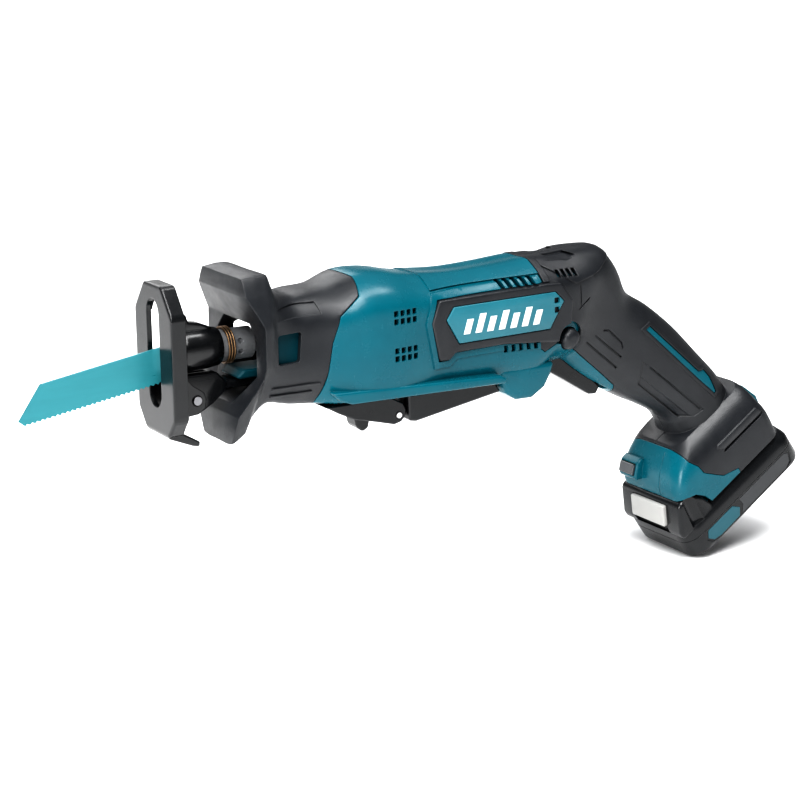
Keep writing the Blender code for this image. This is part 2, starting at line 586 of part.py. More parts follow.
def drive():
    """Crank, motor, fan and bearings."""
    crown_gear()
    cylinder("crank_pin", (CRANK_X, CRANK_R, -16.4), "Z", 3.0, 18.8, STEEL, sides=20)
    ring("crank_bearing", CRANK_X, 0, -19.6, (0, 0, 0), 8.0, 3.5, 2.9, STEEL)
    outline = []
    for i in range(PINION_TEETH * 2):
        radius = 4.5 if i % 2 else 3.2
        angle = math.pi * i / PINION_TEETH
        outline.append((radius * math.cos(angle), radius * math.sin(angle)))
    rotor = cylinder("motor_rotor", (118.8, 0, MOTOR_Z), "X", 2.4, 76.7, DARK_STEEL, sides=16)
    pinion = loft("pinion_teeth", [[Vector((x, a, MOTOR_Z + b)) for a, b in outline] for x in (119.6, 125.6)],
                  cutter=True)
    fuse(rotor, pinion, cylinder("rotor_core", (149, 0, MOTOR_Z), "X", 11.5, 30, cutter=True))
    ring("motor_front_bearing", 126.8, 0, MOTOR_Z, ALONG_X, 6.6, 2.7, 4.4, STEEL)
    ring("motor_rear_bearing", 189.5, 0, MOTOR_Z, ALONG_X, 6.6, 2.7, 5.0, STEEL)
    turned("motor_can", ((18.6, 48), (18.6, 0), (6.0, 0), (6.0, 1.6), (17.2, 1.6), (17.2, 48)),
               (139.5, 0, MOTOR_Z), ALONG_X, STEEL)
    turned("motor_end_cap", ((18.6, 4.5), (18.6, 0), (6.9, 0), (6.9, 4.5)), (187.9, 0, MOTOR_Z), ALONG_X, BLACK)
    for name, start in (("magnet_upper", 35), ("magnet_lower", 215)):
        arc = [math.radians(start + 110 * k / 8) for k in range(9)]
        edge = [(16.9, a) for a in arc] + [(13.6, a) for a in reversed(arc)]
        rings = [[Vector((x, r * math.cos(a), MOTOR_Z + r * math.sin(a))) for r, a in edge] for x in (147, 181)]
        loft(name, rings, MAGNET)
    blades = []
    for i in range(9):
        for radius, shift in ((5.0, 0), (16.5, 6), (16.5, 12), (5.0, 14)):
            angle = math.radians(40 * i + shift)
            blades.append((radius * math.cos(angle), radius * math.sin(angle)))
    fan = loft("cooling_fan", [[Vector((x, a, MOTOR_Z + b)) for a, b in blades] for x in (132, 138.5)], BLACK)
    cut(fan, cylinder("fan_bore", (130, 0, MOTOR_Z), "X", 2.7, 10, cutter=True, sides=16))


# Blade, clamp and shoe
def blade():
    """Blade with its tang; the body droops from the tang as recip blades do."""
    droop = math.tan(math.radians(9.3))
    bottom, tip = (5.0, -13.7), (-63.5, -24.9)
    outline = [(34.5, 3.8), (10.5, 3.8), (8, 3.8), (2.4, 2.7), (-55.4, -6.8), (-66.4, -22.6)]
    pitch, depth = 2.4, 1.0
    count = int((bottom[0] - tip[0]) / pitch)
    for i in range(count + 1):
        x = tip[0] + pitch * i
        z = tip[1] + (x - tip[0]) * droop
        outline += [(x, z), (x + 0.35 * pitch, z + depth)]
    outline += [(7.6, -8.5), (10.2, -3.9), (34.5, -3.8)]
    prism("saw_blade", outline, -0.6, 0.6, BLADE_PAINT)


def clamp():
    """Quick-change clamp: drum on the plunger, turning sleeve with its lever, spring and pin."""
    drum = cylinder("clamp_drum", (16.5, 0, 0), "X", 7.5, 31.5, DARK_STEEL)
    slot = box("blade_slot", (10, -0.95, -4.3), (36.5, 0.95, 4.3), cutter=True)
    socket = cylinder("rod_socket", (44.0, 0, 0), "X", 5.3, 8, cutter=True, sides=20)
    holes = []
    for degrees in (160, 200, 20, -20):
        outward = Vector((0, math.cos(math.radians(degrees)), math.sin(math.radians(degrees))))
        holes.append(cylinder("dimple", Vector((40.5, 0, 0)) + outward * 6.2, outward, 1.4, 4, cutter=True, sides=10))
    cut(drum, slot, socket)
    cut(drum, cylinder("pin_hole", (27, -0.9, 0), Vector((0, -1, 0)), 1.8, 8, cutter=True, sides=12))
    cut(drum, *holes)
    sleeve = turned("clamp_sleeve", ((10.0, 20.0), (10.0, 3.0), (8.6, 0), (6.0, 0), (6.0, 1.4), (7.8, 1.4), (7.8, 20.0)),
                    (11.5, 0, 0), ALONG_X, PAINT)
    lever = prism("sleeve_lever", ((-9.2, 0.6), (-16.4, 0.4), (-17.4, 2.0), (-16.8, 3.6), (-13.2, 4.6), (-12.2, 10.5),
                                   (-9.4, 17.0)), -3.6, 3.6, cutter=True)
    rounded(lever, 0.7, 1)
    lever.location = sleeve.location
    lever.rotation_euler = Euler(ALONG_X)
    fuse(sleeve, lever)
    cylinder("clamp_pin", (27, -1.1, 0), Vector((0, -1, 0)), 1.5, 6.2, STEEL, sides=12)
    wire = bpy.data.curves.new("clamp_spring", "CURVE")
    wire.dimensions = "3D"
    wire.bevel_depth = 0.5 * MM
    wire.bevel_resolution = 1
    wire.use_fill_caps = True
    path = wire.splines.new("POLY")
    turns, per_turn, radius, pitch = 3, 16, 8.4, 1.35
    total = turns * per_turn
    path.points.add(total)
    for i in range(total + 1):
        angle = 2 * math.pi * i / per_turn
        x = 33.6 + pitch * i / per_turn
        path.points[i].co = (x * MM, radius * math.cos(angle) * MM, radius * math.sin(angle) * MM, 1.0)
    spring = bpy.data.objects.new("clamp_spring", wire)
    PARTS.objects.link(spring)
    wire.materials.append(COPPER)


def shoe():
    """Pressed steel shoe with its slot, folded rims, rolled toe and hinge lugs, on the guide bar."""
    front = [(-9.5, 32.6), (9.5, 32.6), (20, 19.5), (20, -28.5), (13, -37), (-13, -37), (-20, -28.5), (-20, 19.5)]
    ring_points = [Vector((0, y, z)) for y, z in front]
    plate = loft("shoe", [[p + Vector((x, 0, 0)) for p in ring_points] for x in (0.0, 7.5)], PAINT)
    rounded(plate, 1.4, 2, 20)
    inner = [Vector((0, y * 0.87, z * 0.90 - 0.2)) for y, z in front]
    pocket = loft("shoe_pocket", [[p + Vector((x, 0, 0)) for p in inner] for x in (2.4, 12)], cutter=True)
    rounded(pocket, 1.0, 1, 20)
    toe = rounded(prism("shoe_toe", ((0.3, -34), (0.8, -37.8), (12.4, -42.6), (15.6, -43.2), (16, -41), (13.4, -39.4),
                                     (6, -35.2), (6, -34)), -12.3, 12.3, cutter=True), 0.5, 1)
    cut(plate, pocket, box("far_rim_relief", (4.8, 13, -24), (10, 24, 17), cutter=True))
    fuse(plate, toe)
    arc = [(6.7 * math.cos(math.radians(a)), 6.7 * math.sin(math.radians(a))) for a in range(0, 181, 20)]
    slot_ring = [(y, 19.2 + z) for y, z in arc] + [(y, -18.2 + z) for y, z in ((-a, -b) for a, b in arc)]
    slot = loft("shoe_slot", [[Vector((x, y, z)) for y, z in slot_ring] for x in (-3, 12)], cutter=True)
    cut(plate, slot)
    for side in (-1, 1):
        near, far = sorted((side * 7.6, side * 10.4))
        lug = prism(f"shoe_lug_{'left' if side < 0 else 'right'}",
                    ((1.5, -11), (11, -11), (14, -14.5), (19.5, -18.5), (20.6, -22), (20, -26), (16.5, -28.5), (1.5, -30)),
                    near, far, cutter=True)
        fuse(plate, lug)
    cut(plate, cylinder("shoe_pin_hole", (16, -20, -22), "Y", 2.4, 40, cutter=True, sides=16), solver="MANIFOLD")
    bar = box("shoe_guide_bar", (20.5, -6.3, -19.1), (80, 6.3, -15.9), PAINT)
    head = prism("bar_head", ((10.9, -13.5), (24, -12.5), (30, -15.9), (30, -19.1), (26, -25), (20, -28.5), (13, -27)),
                 -7.2, 7.2, cutter=True)
    rounded(head, 0.8, 1)
    fuse(bar, head)
    cut(bar, cylinder("bar_pin_hole", (16, -20, -22), "Y", 2.4, 40, cutter=True, sides=16))
    cylinder("shoe_pin", (16, -11.2, -22), "Y", 2.1, 22.4, DARK_STEEL, sides=16)
    guard = prism("nose_guard", ((41, -11.2), (61, -11.2), (61, -15.3), (39, -15.3), (37, -14.4)), -9, 9, TEAL)
    rounded(guard, 0.8, 1)


# Controls
def controls():
    """Trigger with its switch and spring, and the cross-bolt that locks it."""
    trigger = prism("trigger", ((211, -34), (213.8, -21), (219.8, -23.5), (243.4, -46), (241, -50.2),
                                (236.8, -49.8), (221.5, -40.2)), -6.5, 6.5, BLACK)
    rounded(trigger, 1.2, 2)
    way = Vector((0.643, 0, 0.766))
    fuse(trigger, cylinder("trigger_stem", Vector((240, 0, -11)) - way * 25.5, way, 1.6, 10, cutter=True, sides=12))
    body = box("switch_body", (-15, -8, -9), (15, 8, 9), BLACK, round_by=0.8)
    body.location = Vector((240, 0, -11)) * MM
    body.rotation_euler = Euler((0, math.radians(40), 0))
    coil = ring("trigger_spring", 0, 0, 0, (0, 0, 0), 3.4, 2.3, 6.5, STEEL)
    coil.location = (Vector((240, 0, -11)) - way * 15.9) * MM
    coil.rotation_euler = way.to_track_quat("Z", "Y").to_euler()
    button = cylinder("lock_button", (212.5, -27.5, -14.5), "Y", 5.4, 51.0, RUBBER, sides=20)
    rounded(button, 1.6, 3)
    board = box("speed_board", (-16, -9.5, -0.8), (16, 9.5, 0.8), BOARD)
    board.location = Vector((277, 0, -35)) * MM
    board.rotation_euler = Euler((0, math.radians(38), 0))


def hook():
    """Fold-out hanging hook under the body, with the wedge that carries its pin."""
    px, pz = HOOK_PIN
    wedge = prism("hook_mount", ((122.6, -32), (122.9, -44.8), (127, -45.5), (175, -37.2), (171.5, -32)),
                  -19.5, 19.5, BLACK)
    rounded(wedge, 0.8, 1)
    tongue = prism("hook_tongue", ((109.5, -32), (112.5, -42.5), (115.5, -44.5), (119, -44.5), (125, -40), (125, -32)),
                   -14.0, 14.0, cutter=True)
    fuse(wedge, tongue)
    cut(wedge, cylinder("mount_pin_hole", (px, -25, pz), "Y", 1.8, 50, cutter=True, sides=14))
    arm = prism("hook_arm", ((77, -31.9), (79.5, -33.0), (85, -36.2), (93.5, -40.2), (104, -42.6), (114.7, -45.4),
                             (118.7, -44.4), (120.9, -41.6), (121.0, -38.5), (119.4, -35.3), (113, -31.9)),
                -19.5, 19.5, BLACK)
    rounded(arm, 0.8, 1)
    room = prism("hook_room", ((88, -20), (91, -36.5), (104, -40.2), (109, -60), (132, -60), (132, -20)),
                 -14.5, 14.5, cutter=True)
    tab = rounded(prism("hook_tab", ((100, -39), (101.9, -48.1), (105.4, -50.9), (108.6, -49.2), (110, -41)),
                        -5.0, 5.0, cutter=True), 0.8, 1)
    cut(arm, room)
    fuse(arm, tab)
    cut(arm, cylinder("arm_pin_hole", (px, -25, pz), "Y", 1.8, 50, cutter=True, sides=14))
    cylinder("hook_pin", (px, -20.0, pz), "Y", 1.5, 40.0, STEEL, sides=14)


# Battery and contacts
def battery():
    """Slide-on pack in the foot's frame: case top and bottom, cells, release button and spring."""
    base = [round_rect(-41.5, 39.6, 25.5, 9, -1.3), round_rect(-43, 41.2, 27, 10, 1.4), round_rect(-43, 41.2, 27, 10, 9.9)]
    bottom = loft("battery_case_bottom", base, BLACK, FOOT)
    cut(bottom, box("cell_room_low", (-37, -25.3, 1.2), (35, 25.3, 20), parent=FOOT, cutter=True))
    upper = [round_rect(-43, 41.2, 27, 10, 10.2), round_rect(-43, 41.2, 27, 10, 13), round_rect(-42, 39, 24.8, 9, 19)]
    top = loft("battery_case_top", upper, BLACK, FOOT)
    block = rounded(prism("battery_front_block", ((-43, 14), (-43, 19), (-36.5, 31.2), (-35, BLOCK_Z),
                                                  (-30.2, BLOCK_Z), (-24.9, 30.6), (-20.8, 25.6), (-18.7, 19),
                                                  (-18.7, 14)), -26, 26, parent=FOOT, cutter=True), 1.6, 2)
    rail = box("battery_rail", (-32, -21, 14), (27.5, 21, BLOCK_Z), parent=FOOT, cutter=True)
    fuse(top, block, rail)
    cut(top, box("cell_room_mid", (-37, -25.3, 8), (35, 25.3, 14.5), parent=FOOT, cutter=True))
    cut(top, box("cell_room_high", (-37, -23.6, 13), (35, 23.6, 18), parent=FOOT, cutter=True))
    cut(top, box("rail_room", (-18, -19, 17), (12, 19, BLOCK_Z - 2), parent=FOOT, cutter=True))
    for k in (-1, 0, 1):
        cut(top, box(f"contact_groove_{k + 1}", (15, 8.0 * k - 1.6, 23), (40, 8.0 * k + 1.6, 40),
                     parent=FOOT, cutter=True))
        cylinder(f"cell_{k + 2}", (-33.5, 16.7 * k, 9.8), "X", 8.1, 65, CELL, FOOT, sides=20)
    slope = math.atan2(6.5, 12.2)
    seat = box("button_seat", (-3.6, -14.6, -9.2), (3.2, 14.6, 7.2), parent=FOOT, cutter=True)
    button = box("release_button", (-3.0, -14.2, -4.8), (0.0, 14.2, 6.8), WHITE, FOOT, round_by=0.9)
    for piece in (seat, button):
        piece.location = Vector((-39.4, 0, 24.2)) * MM
        piece.rotation_euler = Euler((0, slope, 0))
    seat.location = Vector((-39.7, 0, 24.2)) * MM
    cut(top, seat)


def contacts():
    """Contact carrier in the foot whose three blades stand in the battery's grooves."""
    carrier = box("contact_block", (12, -12, 34.2), (25.5, 12, 38.5), BLACK, FOOT)
    for k in (-1, 0, 1):
        blade_plate = box(f"contact_blade_{k + 1}", (17, 8.0 * k - 0.5, 24.5), (24.5, 8.0 * k + 0.5, 36),
                          BRASS, FOOT, cutter=True)
        fuse(carrier, blade_plate)


# Fasteners
def screws():
    for i, (x, z, seat) in enumerate(SHELL_SCREWS):
        screw = cylinder(f"housing_screw_{i + 1}", (x, seat + GAP, z), "Y", 3.1, 2.4, STEEL, sides=16)
        shank = cylinder(f"shank_{i}", (x, 5.0 - seat, z), "Y", 1.5, 2 * seat - 4, cutter=True, sides=12)
        fuse(screw, shank)


# Joint axes: each turning or travelling piece hangs from an empty on its axis
def ride_on(name, place, riders):
    axis = bpy.data.objects.new(name, None)
    PARTS.objects.link(axis)
    axis.location = Vector(place) * MM
    for rider in riders:
        piece = bpy.data.objects[rider]
        piece.parent = axis
        piece.matrix_parent_inverse = Matrix.Translation(-axis.location)


def joint_axes():
    ride_on("stroke_axis", (0, 0, 0), ("plunger_rod", "clamp_drum", "clamp_pin", "clamp_spring", "clamp_sleeve", "saw_blade"))
    ride_on("crank_axis", (CRANK_X, 0, -12), ("crank_gear", "crank_pin"))
    ride_on("rotor_axis", (150, 0, MOTOR_Z), ("motor_rotor", "cooling_fan"))
    ride_on("shoe_axis", (16, 0, -22), ("shoe",))
    ride_on("hook_axis", (HOOK_PIN[0], 0, HOOK_PIN[1]), ("hook_arm",))
    ride_on("trigger_axis", (228, 0, -36), ("trigger",))
    ride_on("lock_axis", (212.5, 0, -14.5), ("lock_button",))


vents, mouth, button_bore = hard_housing()
soft_grip(vents, mouth, button_bore)
foot_cover()
nose_boot()
gear_case()
plunger()
drive()
blade()
clamp()
shoe()
controls()
hook()
battery()
contacts()
screws()
joint_axes()
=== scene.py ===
"""Looks of the cordless reciprocating saw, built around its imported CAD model.

Shells that the eye rests on are rebuilt at a finer pitch, with their ribs, grooves and panels. Everything
else keeps its CAD shape and gets its material here. Lengths are in millimetres, and on the stage in metres.
"""

import json
import math

import bmesh
import bpy
from mathutils import Euler, Matrix, Vector

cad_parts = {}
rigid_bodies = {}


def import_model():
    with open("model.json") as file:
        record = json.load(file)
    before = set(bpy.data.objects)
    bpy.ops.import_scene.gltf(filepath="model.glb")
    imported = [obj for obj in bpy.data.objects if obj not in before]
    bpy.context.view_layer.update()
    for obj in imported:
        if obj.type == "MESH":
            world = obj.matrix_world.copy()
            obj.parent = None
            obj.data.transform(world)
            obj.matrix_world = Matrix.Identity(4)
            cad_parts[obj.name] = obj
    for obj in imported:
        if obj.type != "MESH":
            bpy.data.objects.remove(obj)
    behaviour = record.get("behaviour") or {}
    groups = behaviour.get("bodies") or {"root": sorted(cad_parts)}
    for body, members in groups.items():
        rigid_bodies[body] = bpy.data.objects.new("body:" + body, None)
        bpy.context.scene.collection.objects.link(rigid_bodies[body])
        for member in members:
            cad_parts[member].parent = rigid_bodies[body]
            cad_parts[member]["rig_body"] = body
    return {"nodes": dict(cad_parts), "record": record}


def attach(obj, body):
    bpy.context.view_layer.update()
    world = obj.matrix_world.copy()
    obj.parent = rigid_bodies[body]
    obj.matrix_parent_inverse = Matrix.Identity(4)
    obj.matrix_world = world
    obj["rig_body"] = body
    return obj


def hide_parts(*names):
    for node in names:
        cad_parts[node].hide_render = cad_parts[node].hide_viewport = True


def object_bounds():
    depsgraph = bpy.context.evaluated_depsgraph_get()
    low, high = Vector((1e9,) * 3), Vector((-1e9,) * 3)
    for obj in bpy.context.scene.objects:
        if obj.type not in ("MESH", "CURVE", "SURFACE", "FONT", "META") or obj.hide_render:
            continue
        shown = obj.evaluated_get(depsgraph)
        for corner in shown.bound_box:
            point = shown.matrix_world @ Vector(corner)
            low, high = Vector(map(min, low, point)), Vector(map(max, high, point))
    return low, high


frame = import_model()
NODES = frame["nodes"]
CAD_LOW, CAD_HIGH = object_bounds()

MM = 0.001
GAP = 0.3
WIDE = 60.0              # further to the side than the tool reaches
OUTSIDE = 40.0           # just outside its flanks
SIDES = (-1, 1)
SHELL_SEAM, SHELL_GAP = 0.3, 0.05        # the core's seam lies beside the skin's, so no light passes
SHARP_ANGLE = math.radians(32.0)
BEVEL_ANGLE = math.radians(38.0)
CORNER_STEPS, LATHE_STEPS = 8, 64
SKIN = 1.5               # thickness of the soft skin
WALL = 2.0               # thickness of the hard shell under it
BOOT_WALL = 2.8
FRAME_Y = 28.0           # how far out the badge frames stand
BADGE_SEAT_Y = 26.9      # where the badges rest in them
LABEL_Y = 26.55          # where the battery's labels rest
FOOT_TILT = math.radians(35.0)
FOOT_AT = (328.0, 0.0, -117.8)

# Section shapes, top to bottom: (share of the height, share of the half-width)
SECTIONS = {
    "collar": ((0, 0), (0.0, 0.68), (0.13, 0.86), (0.32, 1.0), (0.60, 1.0), (0.99, 0.50), (1, 0)),
    "neck": ((0, 0), (0.02, 0.55), (0.18, 0.93), (0.42, 1.0), (0.72, 1.0), (0.97, 0.66), (1, 0)),
    "gear": ((0, 0), (0.03, 0.50), (0.19, 0.93), (0.42, 1.0), (0.82, 1.0), (0.98, 0.84), (1, 0)),
    "motor": ((0, 0), (0.005, 0.42), (0.17, 0.98), (0.50, 1.0), (0.84, 1.0), (0.99, 0.80), (1, 0)),
    "cap": ((0, 0), (0.02, 0.50), (0.20, 0.96), (0.50, 1.0), (0.78, 1.0), (0.97, 0.70), (1, 0)),
    "grip": ((0, 0), (0.06, 0.60), (0.25, 0.94), (0.50, 1.0), (0.75, 0.94), (0.95, 0.56), (1, 0)),
}

# Stations along the tool: top point (x, z), bottom point (x, z), half-width, section
STATIONS = (
    ((27, 33.0), (25.5, -45.4), 29.5, "collar"),
    ((34, 33.6), (32, -44.2), 30.0, "collar"),
    ((42, 34.8), (37.5, -40.2), 30.3, "collar"),
    ((47.8, 34.6), (41.2, -33), 29.8, "collar"),
    ((54, 26.8), (48, -27.2), 26.4, "neck"),
    ((63, 21.6), (61, -29.6), 24.8, "neck"),
    ((72, 22.2), (72, -30.7), 25.0, "neck"),
    ((84, 23.6), (84, -31), 27.3, "gear"),
    ((98, 28.2), (98, -31.1), 30.0, "gear"),
    ((112, 28.2), (112, -31.4), 30.3, "gear"),
    ((126, 25.4), (126, -31.5), 28.0, "gear"),
    ((140, 23.2), (140, -31.3), 25.4, "motor"),
    ((156, 22.4), (156, -31.1), 25.0, "motor"),
    ((176, 23.2), (174, -30.9), 25.0, "motor"),
    ((195, 24.6), (193, -30.5), 25.0, "motor"),
    ((213, 25.2), (204, -28), 24.8, "cap"),
    ((230, 26.4), (211, -27), 23.6, "cap"),
    ((242, 26.1), (218, -29.5), 21.0, "grip"),
    ((251, 17.0), (226.3, -36), 18.8, "grip"),
    ((258, 2.6), (236, -42.6), 17.9, "grip"),
    ((272.7, -6.9), (246.6, -48.6), 17.5, "grip"),
    ((288, -19), (259.2, -55.3), 17.5, "grip"),
    ((303, -34), (272.9, -61.7), 17.8, "grip"),
    ((317.4, -48.9), (284.6, -69), 18.2, "grip"),
    ((326, -62), (291.5, -82), 18.6, "grip"),
)
COLLAR_TO, HOUSING_FROM, SKIN_FROM, NECK_TO = 3, 6, 9, 10       # stations where the forms end or begin
LAST = len(STATIONS) - 1
SOFTNESS = {"collar": 0.25, "neck": 0.9, "gear": 1.0, "motor": 0.55, "cap": 0.7, "grip": 1.0}
BOOT_HOLE = ((-13, 11), (13, 11), (19, 5), (19, -12), (8.5, -22.5), (-8.5, -22.5), (-19, -12), (-19, 5))  # (y, z)
BOOT_FLARE = ((10, 1.35), (36, 1.12), (46, 1.0), (58, 1.0))    # place along the tool, and how much the hole grows there
PAINTED_SHADE_TO = 66.0       # shell faces ahead of this, the liner inside the boot, get the darker teal that paints in its shade

# Side-view outlines (x, z)
BOOT_ZONE = ((10, 70), (92, 70), (92, 33), (97, 27), (94, 20), (83, 12), (78.5, 0), (76, -13),
             (72.5, -27), (71.5, -70), (10, -70))
COLLAR_FRONT = ((10, 70), (35.5, 70), (35, 26), (42, 12), (42, -12), (31, -30), (29.5, -70), (10, -70))
SKIN_ZONE = ((196, 60), (196, 15.5), (135, 14), (131, 3), (135, -16), (141, -16), (144.5, -12.8),
             (172, -12), (190, -13.5), (197, -19), (204, -15.5), (213, -18), (222, -23.5), (248.5, -45.5),
             (251.5, -53), (253, -70), (252, -140), (420, -140), (420, 60))
FRAME = ((196, 15.3), (135.2, 13.7), (131.4, 3), (135.3, -15.7), (140.8, -15.7), (144.4, -12.5),
         (172, -11.7), (190, -13.2), (204, -14.5), (211, -7), (212, 5), (205, 15))
BADGE = ((139, 4), (143, 10), (201, 11), (206, 6), (198, -7), (146, -8))
STRIPE = ((264.2, -17.4), (267, -16.2), (297.9, -43.6), (302, -43.4), (305.6, -47.4), (309, -55.6), (308, -56.2),
          (298.3, -48))
LEDGE = ((76, -23), (168, -26.2), (171.5, -28), (171.5, -30.4), (86, -29.4), (80, -27))
LOBE = ((172, -28), (176.2, -38), (182, -41.8), (191, -42.0), (198.5, -37.4), (202, -31.5), (204.5, -25), (172, -25))
LINER_FRONT = ((30, 70), (64, 70), (64, 9.4), (51.5, 8.6), (51.5, -8.6), (64, -9.4), (64, -70), (30, -70))
BOOT_WINDOW = ((49.6, 7.0), (63.2, 7.0), (61.6, -6.8), (49.6, -6.8))
TRIGGER_MOUTH = ((207, -20), (203, -33), (214, -60), (244, -57), (249, -43), (228, -14.5), (214, -14))
TEAL_FOOT = ((-60, 80), (-17, 80), (-17, 47), (-14.5, 42), (-14, 37), (-5.5, 27), (4, 23.4), (4, 5), (-60, 5))
LAMP_HOOD = ((-30, 38), (-35, 40.5), (-35, 43), (-29.5, 48.2), (-25, 48.5), (-24, 38))   # side view, foot's frame
LAMP_TURN = math.radians(-43.4)
LAMP_AT = (-32.3, 13.0, 45.6)
PLINTH_STEP = 3.4
NUB = ((127.8, 6.2), (132.5, 6.8), (132.5, 0.2), (127.8, 0.8))
BADGE_HOLES = (((200.2, 5.4), (203.4, 5.4), (203.4, 8.2), (200.2, 8.2)),
               ((200.4, 0.6), (203.4, 0.6), (203.4, 3.6), (200.4, 3.6)))
BAR_FROM, BAR_PITCH, BAR_WIDE, BAR_COUNT = 148.0, 6.6, 3.6, 7       # plain slanted bars on the badge
BAR_FOOT, BAR_SHORT, BAR_TALL, BAR_LEAN = -3.8, 3.4, 5.4, 0.31
REAR_CATCH = ((331, -57.5), (336, -58.5), (345, -65), (347.5, -69.5), (345.5, -72.5), (337, -70))
TOP_STEP = ((133.5, 18.2), (196, 19.6), (196, 60), (134.5, 60))
CAP_RIM = ((196.15, 60), (196.15, 15.65), (200, 15.65), (200, 60))
CAP_HOOD = ((196.15, 60), (196.15, 25.0), (208.7, 17.4), (216, 13.0), (232, 17), (246, 24), (246, 60))
NECK_BAND = ((50.5, 18.8), (73.5, 18.9), (74.5, 13.8), (50.5, 13.6))
NECK_RIDGES = (((47.5, -18.4), (72.3, -18.4)), ((47.5, -22.4), (69.0, -22.4)))
CAP_RECESS = ((207.0, 23.8), (208.0, 29.0), (214.5, 29.0), (222.5, 25.2), (218.5, 23.4))
CAP_MARKS = (((218.7, 12.0), (219.2, 1.4)), ((225.1, 4.7), (218.0, -0.5)))
RIB_LINES = (((236.4, -14.0), (239.9, -14.5), (248.2, -22.0), (249.1, -25.0)), ((231.1, -16.0), (248.5, -29.7)),
             ((226.6, -19.2), (246.4, -35.2)))
GRIP_PANEL = ((261.8, -33.4), (292.8, -57.1), (301.0, -64.0), (295.5, -67.2), (288.5, -67.5), (260.7, -45.9))
GRIP_DEEP = ((260.9, -41.1), (293.5, -66.8), (288.5, -67.3), (261.0, -45.6))
GRIP_LINE = ((266.8, -37.2), (299.0, -63.6))
FOOT_SLOT = ((2.0, 36.6), (2.8, 38.2), (33.0, 38.2), (33.0, 36.6))
FOOT_RIDGE = ((-0.5, 41.5), (0.6, 42.8), (31.0, 42.8), (32.0, 38.4), (3.0, 38.4))
COIL_FROM, COIL_PITCH, COIL_TURNS, COIL_STEPS = 33.6, 1.35, 3, 40
COIL_RADIUS, COIL_WIRE = 8.4, 0.5
SLEEVE = ((11.5, 6.0), (11.5, 8.6), (12.0, 9.4), (13.2, 9.9), (14.6, 10.0), (24.0, 9.9), (30.6, 9.0), (31.3, 8.6),
          (31.5, 7.8), (12.9, 7.8), (12.9, 6.0))           # closed profile: place along the tool, radius
LEVER = ((12.1, 9.2), (11.9, 16.4), (13.5, 17.4), (15.1, 16.8), (16.1, 13.2), (22.0, 12.2), (28.5, 9.4), (24, 8.6),
         (14, 8.6))
BAR_HEAD = ((10.9, -10.8), (28, -10.8), (33, -15.9), (33, -19.1), (26, -25), (20, -28.5), (13, -27), (10.9, -20))
VENT_OUTER, VENT_HOLE_INNER, VENT_SLOT_INNER = 34.0, 22.0, 12.0
VENT_HOLE_FROM, VENT_HOLE_PITCH, VENT_HOLE_COLUMNS = 109.0, 3.6, 4
VENT_HOLE_ROWS = (5.6, 9.4, -12.0, -8.2)
VENT_SLOTS = (     # where a row starts, its pitch, its count, and the outlines that repeat along it
    (172.0, 4.3, 5, (((0, 14.6), (2.7, 14.6), (1.9, 18.8), (-0.8, 18.8)),
                     ((1, -16.4), (3.3, -16.4), (2.9, -12.8), (0.6, -12.8)))),
    (206.5, 3.1, 4, (((0, 16.4), (1.9, 16.4), (1.4, 19.9), (-0.5, 19.9)),)),
)
SCREW_PLACES = ((189.0, -35.0, 9.0), (226.0, 15.0, 11.0), (246.5, 2.0, 7.8), (302.0, -57.0, 11.8))    # x, z, seat's y
CROSS_BOLT = (212.5, -27.5, -14.5)
FOLD_TOP, FOLD_BOTTOM = (314.5, -54.0), (285.8, -70.4)

# Round rectangles in the foot's frame: (from x, to x, half-width, corner radius, z)
FOOT_ROWS = ((-34, 36, 27, 7, 20.7), (-34, 37, 27, 7, 34), (-29, 36.2, 26, 8, 43), (-21, 36, 22.5, 9, 50),
             (-15.5, 35, 18, 9, 54))
CASE_LOW_ROWS = ((-41.5, 39.6, 25.5, 9, -1.3), (-42.6, 40.8, 26.6, 9.6, -0.2), (-43, 41.2, 27, 10, 1.4),
                 (-43, 41.2, 27, 10, 9.9))
CASE_HIGH_ROWS = ((-43, 41.2, 27, 10, 10.2), (-43, 41.2, 27, 10, 13), (-42.8, 40.6, 26.6, 9.8, 15),
                  (-42, 39, 24.8, 9, 19))

# Side-view outlines in the foot's frame
FRONT_RELIEF = ((-60, -10), (-60, 33.2), (-30, 33.2), (-24.5, 31), (-20.3, 26), (-18.2, 20), (-18.2, -10))
FRONT_BLOCK = ((-43, 14), (-43, 19), (-36.5, 31.2), (-35, 32.8), (-30.2, 32.8), (-24.9, 30.6), (-20.8, 25.6),
               (-18.7, 19), (-18.7, 14))
BUTTON_SEAT_AT, BUTTON_SEAT_TURN = (-39.7, 0, 24.2), math.atan2(6.5, 12.2)
LABEL_BAND = ((-33, 5), (-30.5, 9.2), (31, 9.2), (34, 7.2), (32, 2.0), (28, 0.2), (-25, 0.0), (-30, 1.2))
TAG = ((-31.6, 5.0), (-29.4, 8.6), (-10.5, 8.6), (-7.0, 4.6), (-9.5, 0.7), (-24.6, 0.6), (-29.0, 1.7))
BLANK_LABEL = ((-5.0, 8.6), (30.5, 8.6), (32.8, 6.9), (31.2, 2.6), (27.6, 0.8), (-7.4, 0.7), (-4.4, 4.6))


# ---------------------------------------------------------------- materials
TONE_SCALE, GLOSS_SCALE = 45.0, 120.0     # noise scales, per metre
GRAIN_DEPTH = 0.0002                      # metres
COAT_ROUGHNESS = 0.12
EDGE_SAMPLES = 6


def graph(name):
    """A new material with its nodes, links and shader."""
    made = bpy.data.materials.new(name)
    made.use_nodes = True
    nodes = made.node_tree.nodes
    return made, nodes, made.node_tree.links, nodes["Principled BSDF"]


